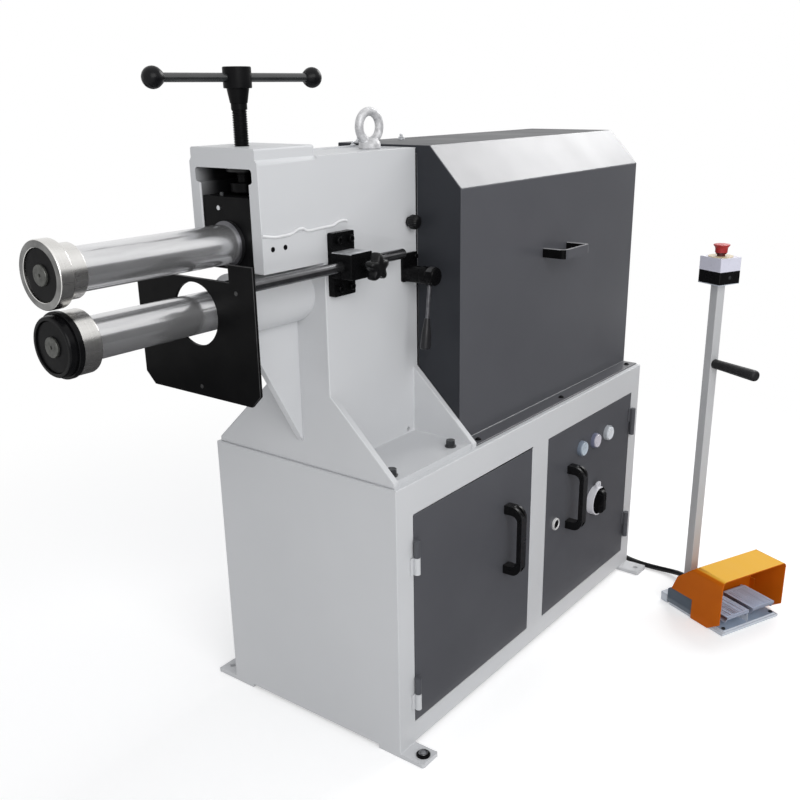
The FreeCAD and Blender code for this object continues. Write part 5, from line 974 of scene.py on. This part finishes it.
# Painted shade: the hood's left end and its top take a darker, duller coat than its front.
hood_painted_shade = uneven_finish(
    "hood_painted_shade_coat", "dark_paint", (0.034, 0.036, 0.042), (0.028, 0.030, 0.035),
    gloss=0.36, dull=0.46, blotch=0.3, grain=0.0016, shine=0.15)
hood = dress("hood_shell", hood_coat, 0.0022, 0.02, where=lambda e: middle(e).z > 0.6105)
second_finish(hood, hood_painted_shade, lambda at, normal: normal.x < -0.9 or normal.z > 0.97 and at.z > 1.2)
hood_screw = add_turned((0, 0, 0.6125), UP, (
    (0, 7.2), (1.2, 7.2), (1.6, 6), (3.4, 5.2), (4.4, 3.6), (4.4, 2.2), (3.4, 2)), sides=40)
spread(smooth(hood_screw, 30), "hood_screw_%d", [(x, -0.220, 0) for x in (-0.222, 0.150, 0.520)],
       black_steel, replaced="machine_bolts")
top_bolt = add_turned((0, 0, 1.2250), UP, ((0, 6.2), (5, 6.2), (6, 5.2)), sides=6)
combine(top_bolt, add_turned((0, 0, 1.2248), UP, ((0, 9), (1.2, 9), (1.6, 8.5)), sides=32), "UNION")
combine(top_bolt, add_turned((0, 0, 1.2250), UP, ((0, 3.4), (10.8, 3.4), (12, 2.6)), sides=24), "UNION")
smooth(top_bolt, 25)
for count, x in enumerate((-0.242, -0.094)):
    hand_over(copy_to(top_bolt, (x, 0.078, 0)), "hood_top_bolt_%d" % (count + 1), bright_steel,
              replaced="machine_bolts")
hand_over(copy_to(top_bolt, (-0.272, 0.068, -0.008)), "head_top_bolt", bright_steel)
bpy.data.objects.remove(top_bolt)

# Hood handle: a flat steel bar bent to a U, blackened and screwed on from inside.
# Its upper faces are coloured light grey as a painted highlight, and its front faces dark grey as a painted
# sheen.
handle = merged_copy("hood_handle")
lowest = min(corner.co.z for corner in handle.data.vertices)
edit(handle, "VERT", lambda v: v.co.z < lowest + 0.001, bpy.ops.transform.translate, value=(0, 0, -0.003))
round_folds(handle, 0.0018, lambda e: straight_fold(e, 0.008), 3)
hand_over(smooth(handle), "hood_handle", glossy_black)
handle_top_highlight = uneven_finish(
    "handle_top_painted_highlight", "black_steel", (0.42, 0.42, 0.43), (0.26, 0.26, 0.27),
    gloss=0.3, dull=0.42, blotch=0.02, shine=0.4)
# Painted sheen on the front faces, painted highlight on the upper faces.
second_finish(handle, dark_paint, lambda at, normal: normal.y < -0.8)
second_finish(handle, handle_top_highlight, lambda at, normal: normal.z > 0.4)

# Drive: a coaxial gearbox with bolted flange takes the lower shaft in its hollow output.
# Its cast body and the finned motor are painted dark; its flange bolts are left bright.
cast_grey = uneven_finish(
    "cast_dark_paint", "dark_paint", (0.060, 0.064, 0.074), (0.045, 0.048, 0.057),
    gloss=0.36, dull=0.52, blotch=0.08, grain=0.0028, relief=0.00012, shine=0.4)
dress("gearbox", cast_grey)
flange_bolt = add_turned((-0.102, 0, 0), RIGHT, ((0, 7.5), (6.8, 7.5), (8, 6.4)), sides=6)
spread(smooth(flange_bolt, 25), "gearbox_bolt_%d", [
    (0, 0.095 * math.cos(turn), lower_z + 0.095 * math.sin(turn))
    for turn in (math.radians(22.5 + 45 * count) for count in range(8))], bright_steel)
dress("motor", cast_grey, 0.0012, 0.03, 2)
dress("drive_stand", light_paint, 0.0015, 0.02)


# Station plate: a pale plate with a clipped corner carries the tray, the brackets, divider and axle.
# Two small black screws hold the tray at its front corners, and a step is folded up at its rear left corner.
def stand_at_station(piece):
    """Turns and shifts a piece that was modelled square to the station plate to its place."""
    station_turn, station_corner = math.radians(-23.86), (0.3143, -0.6233, 0)
    work_on(piece)
    piece.rotation_euler = (0, 0, station_turn)
    piece.location = station_corner
    bpy.ops.object.transform_apply(location=True, rotation=True, scale=True)
    return piece


plate_grey = uneven_finish(
    "pale_blue_grey_plate", "grey_aluminium", (0.66, 0.70, 0.76), (0.58, 0.62, 0.69),
    gloss=0.3, dull=0.42, blotch=0.06, grain=0.0012, relief=0.00003)
tray_grey = uneven_finish(
    "blue_grey_tray", "grey_aluminium", (0.44, 0.53, 0.66), (0.36, 0.43, 0.55),
    gloss=0.3, dull=0.42, blotch=0.05, grain=0.0012, relief=0.00003)
base = dress("pedal_base", plate_grey, 0.0008, 0.01, 2)
second_finish(base, tray_grey, lambda at, normal: 0.0115 < at.z < 0.0125 and normal.z > 0.9)
screw = smooth(add_turned((0, 0.012, 0.0119), UP, (
    (0, 5.2), (2.2, 5.2), (3.4, 4), (3.4, 1.8), (2.6, 1.6)), sides=24))
for count, u in enumerate((0.016, 0.188)):
    hand_over(stand_at_station(copy_to(screw, (u, 0, 0))), "tray_screw_%d" % (count + 1), oiled_bolt)
bpy.data.objects.remove(screw)
step = edit(add_block((0.0005, 0.2005, 0.0070), (0.0480, 0.2255, 0.0265)), "VERT", lambda v: v.co.z < 0.008,
            bpy.ops.transform.translate, value=(0, 0, -0.0065))
hand_over(stand_at_station(smooth(soften(step, 0.0012, 3))), "station_plate_step", plate_grey)

# Pedals: two cast plates with fine lengthwise ribs, which turn on one axle behind them.
# Their tops are blue-grey and rubbed; their sides and lower faces are coloured darker as painted shade.
pedal_grey = uneven_finish(
    "pedal_blue_grey", "grey_aluminium", (0.52, 0.63, 0.83), (0.42, 0.51, 0.68),
    gloss=0.36, dull=0.5, grain=0.0012, relief=0.00004)
pedal_side_painted_shade = uneven_finish(
    "pedal_side_painted_shade_coat", "grey_aluminium", (0.36, 0.40, 0.50), (0.28, 0.31, 0.40),
    gloss=0.36, dull=0.5, blotch=0.05, grain=0.0012, relief=0.00004)
for node, body, start in (("left_pedal", "left_foot_pedal", 0.013),
                          ("right_pedal", "right_foot_pedal", 0.105)):
    pedal = edit(add_block((start, 0, 0.044), (start + 0.078, 0.1005, 0.052)), "FACE",
                 lambda f: f.normal.z > 0.9, bpy.ops.mesh.inset, thickness=0.0045)
    for count in range(9):
        u = start + 0.0075 + count * 0.0073
        combine(pedal, add_block((u, 0.005, 0.0511), (u + 0.0034, 0.094, 0.056)))
    for u in (start, start + 0.074):
        side = edit(add_block((u, 0.0, 0.034), (u + 0.004, 0.1005, 0.0500)), "VERT",
                    lambda v: v.co.z < 0.035 and v.co.y < 0.001,
                    bpy.ops.transform.translate, value=(0, 0.006, 0))
        combine(pedal, side, "UNION")
    combine(pedal, add_block((start + 0.0003, 0.092, 0.034), (start + 0.0777, 0.106, 0.0505)), "UNION")
    axle_hub = add_turned((start, 0.106, 0.034), RIGHT, (
        (0, 5.1), (0, 8.4), (0.6, 9), (77.4, 9), (78, 8.4), (78, 5.1)), bored=True)
    combine(pedal, axle_hub, "UNION")
    combine(pedal, add_turned((start - 0.01, 0.106, 0.034), RIGHT, ((0, 5.08), (100, 5.08))))
    hand_over(stand_at_station(smooth(soften(pedal, 0.0005, 2, 40))), node, pedal_grey, body)
    second_finish(pedal, pedal_side_painted_shade, lambda at, normal: normal.z < 0.3 or at.z < 0.0508)

# Pedal housing: a folded blue-grey box behind the pedals, with the switches and a seat for the post.
# Thin cheeks reach forward at both sides, up to the guard's side plates.
housing_grey = uneven_finish(
    "housing_blue_grey", "dark_paint", (0.135, 0.166, 0.208), (0.112, 0.139, 0.175),
    gloss=0.32, dull=0.44, blotch=0.1, grain=0.0014, relief=0.00003)
dress("pedal_housing", housing_grey, 0.0012, 0.01, 2)
for name, low_u, high_u in (("left", -0.0009, 0.0005), ("right", 0.2215, 0.2229)):
    cheek = stand_at_station(soft_block((low_u, 0.108, 0.0085), (high_u, 0.1205, 0.0548), 0.0003))
    hand_over(cheek, "pedal_housing_%s_cheek" % name, housing_grey)

# Guard: folded 3 mm sheet with rounded shoulders over the pedals, sloping back to the housing.
# It is coated orange, with a painted highlight that turns its upward faces yellow, and a bulkhead behind the
# pedals.
# Nothing mirrors it, because the photograph shows no orange in the shafts and handles.
orange_coat = uneven_finish(
    "orange_guard_coat", "orange_paint", (0.66, 0.150, 0.004), (0.58, 0.124, 0.003),
    gloss=0.42, dull=0.55, blotch=0.12, grain=0.0015, relief=0.00004, shine=0.12)
tree = orange_coat.node_tree
facing = add_node(tree, "SeparateXYZ", {"Vector": add_node(tree, "TexCoord", {}).outputs["Normal"]})
# Painted highlight: faces turned upwards are tinted yellow.
painted_top_light = add_node(tree, "MapRange", {"From Min": 0.62, "From Max": 0.98, "Value": facing.outputs["Z"]},
                    interpolation_type="SMOOTHSTEP")
tint(orange_coat, painted_top_light.outputs["Result"], (0.86, 0.465, 0.042))
guard = dress("pedal_guard", orange_coat, 0.0012, 0.01, 2)
guard.visible_glossy = False
bulkhead = add_block((-0.0008, 0.1166, 0.0085), (0.2228, 0.1190, 0.1356))
for low_u, high_u in ((0.0006, 0.0018), (0.2202, 0.2214)):
    combine(bulkhead, add_block((low_u, 0.100, 0.0085), (high_u, 0.1180, 0.0600)), "UNION")
hand_over(stand_at_station(smooth(soften(bulkhead, 0.0004))), "guard_bulkhead", orange_coat)
bulkhead.visible_glossy = False

# Post: a square steel tube with rounded corners, painted light grey, that stands behind the pedals.
# A moulded hand grip with a rounded end sticks out of its front.
post_paint = uneven_finish(
    "post_grey_coat", "light_paint", (0.555, 0.560, 0.568), (0.520, 0.526, 0.535),
    gloss=0.34, dull=0.46, blotch=0.2, grain=0.0016, relief=0.00003, shine=0.4)
dress("stop_post", post_paint)
matt_plastic = uneven_finish(
    "matt_black_plastic", "black_plastic", (0.026, 0.026, 0.027), (0.018, 0.018, 0.019),
    gloss=0.42, dull=0.56, relief=0.00006, shine=0.25)
grip = add_turned((0.080, 0.1885, 0.669), FRONT, (
    (0, 11), (1, 11.8), (127, 13.8), (132, 13.4), (135.5, 12), (137.2, 9.8), (138, 6)), sides=56)
hand_over(stand_at_station(smooth(grip, 50)), "post_grip", matt_plastic)

# Stop box: a black moulded base with a knock-out under a pale lilac lid with a yellow disc.
# Four countersunk screws hold both on a thin pale seat plate that is welded to the post's top.
box_lilac = uneven_finish(
    "pale_lilac_lid", "pale_plastic", (0.74, 0.74, 0.85), (0.68, 0.68, 0.78),
    gloss=0.26, dull=0.38, blotch=0.04, grain=0.0007)
disc_yellow = uneven_finish(
    "yellow_disc", "pale_plastic", (0.68, 0.57, 0.36), (0.60, 0.50, 0.30),
    gloss=0.3, dull=0.42, grain=0.0007)
dress("stop_box_base", black_plastic, 0.0012, 0.01, 2)
seat = stand_at_station(soft_block((0.0455, 0.1665, 0.8728), (0.1145, 0.2355, 0.8749), 0.0004))
hand_over(seat, "stop_box_seat_plate", plate_grey)
lid = dress("stop_box_lid", box_lilac, 0.0014, 0.01)
second_finish(lid, disc_yellow, lambda at, normal: at.z > 0.9381)
screw = smooth(add_turned((0, 0, 0.9378), UP, (
    (0, 3.2), (0.6, 3.2), (0.9, 2.8), (0.9, 1.2), (0.3, 1)), sides=24))
for count, (u, v) in enumerate(((0.0525, 0.1715), (0.1075, 0.1715), (0.0525, 0.2305), (0.1075, 0.2305))):
    hand_over(stand_at_station(copy_to(screw, (u, v, 0))), "stop_lid_screw_%d" % (count + 1), bright_steel)
bpy.data.objects.remove(screw)
knock_out = add_turned((0.080, 0.1660, 0.8902), FRONT, ((0, 4.6), (0.6, 4.6), (1, 4.2), (1, 2)), sides=32)
hand_over(stand_at_station(smooth(knock_out)), "stop_box_knock_out", oiled_bolt)

# Stop button: a red moulded mushroom with a domed top on a darker neck.
# It is pushed down to stop the machine and springs back when turned.
red_plastic = uneven_finish(
    "red_plastic", "red_plastic", (0.46, 0.026, 0.028), (0.38, 0.020, 0.022),
    gloss=0.42, dull=0.55, blotch=0.02, grain=0.0006)
red_dark = uneven_finish(
    "dark_red_neck", "red_plastic", (0.10, 0.008, 0.009), (0.07, 0.006, 0.007),
    gloss=0.3, dull=0.42, blotch=0.02, grain=0.0006)
mushroom = add_turned((0.080, 0.201, 0), UP, (
    (908, 9.8), (944.5, 9.8), (944.5, 13), (947.8, 13), (947.8, 14.8), (956, 15), (960, 15.8), (963, 18),
    (964.8, 19.6), (965.8, 20), (966.8, 19.9), (967.4, 19), (968, 16), (968.4, 10), (968.5, 4)), sides=80)
hand_over(stand_at_station(smooth(mushroom, 45)), "stop_button", red_plastic, "emergency_stop")
second_finish(mushroom, red_dark, lambda at, normal: at.z < 0.9479)

# Cable glands: moulded black glands with a hexagon nut, one for the control cable at each end.
# The third, in the cabinet's rear, is for the mains lead.
dress("cable_glands", black_plastic)
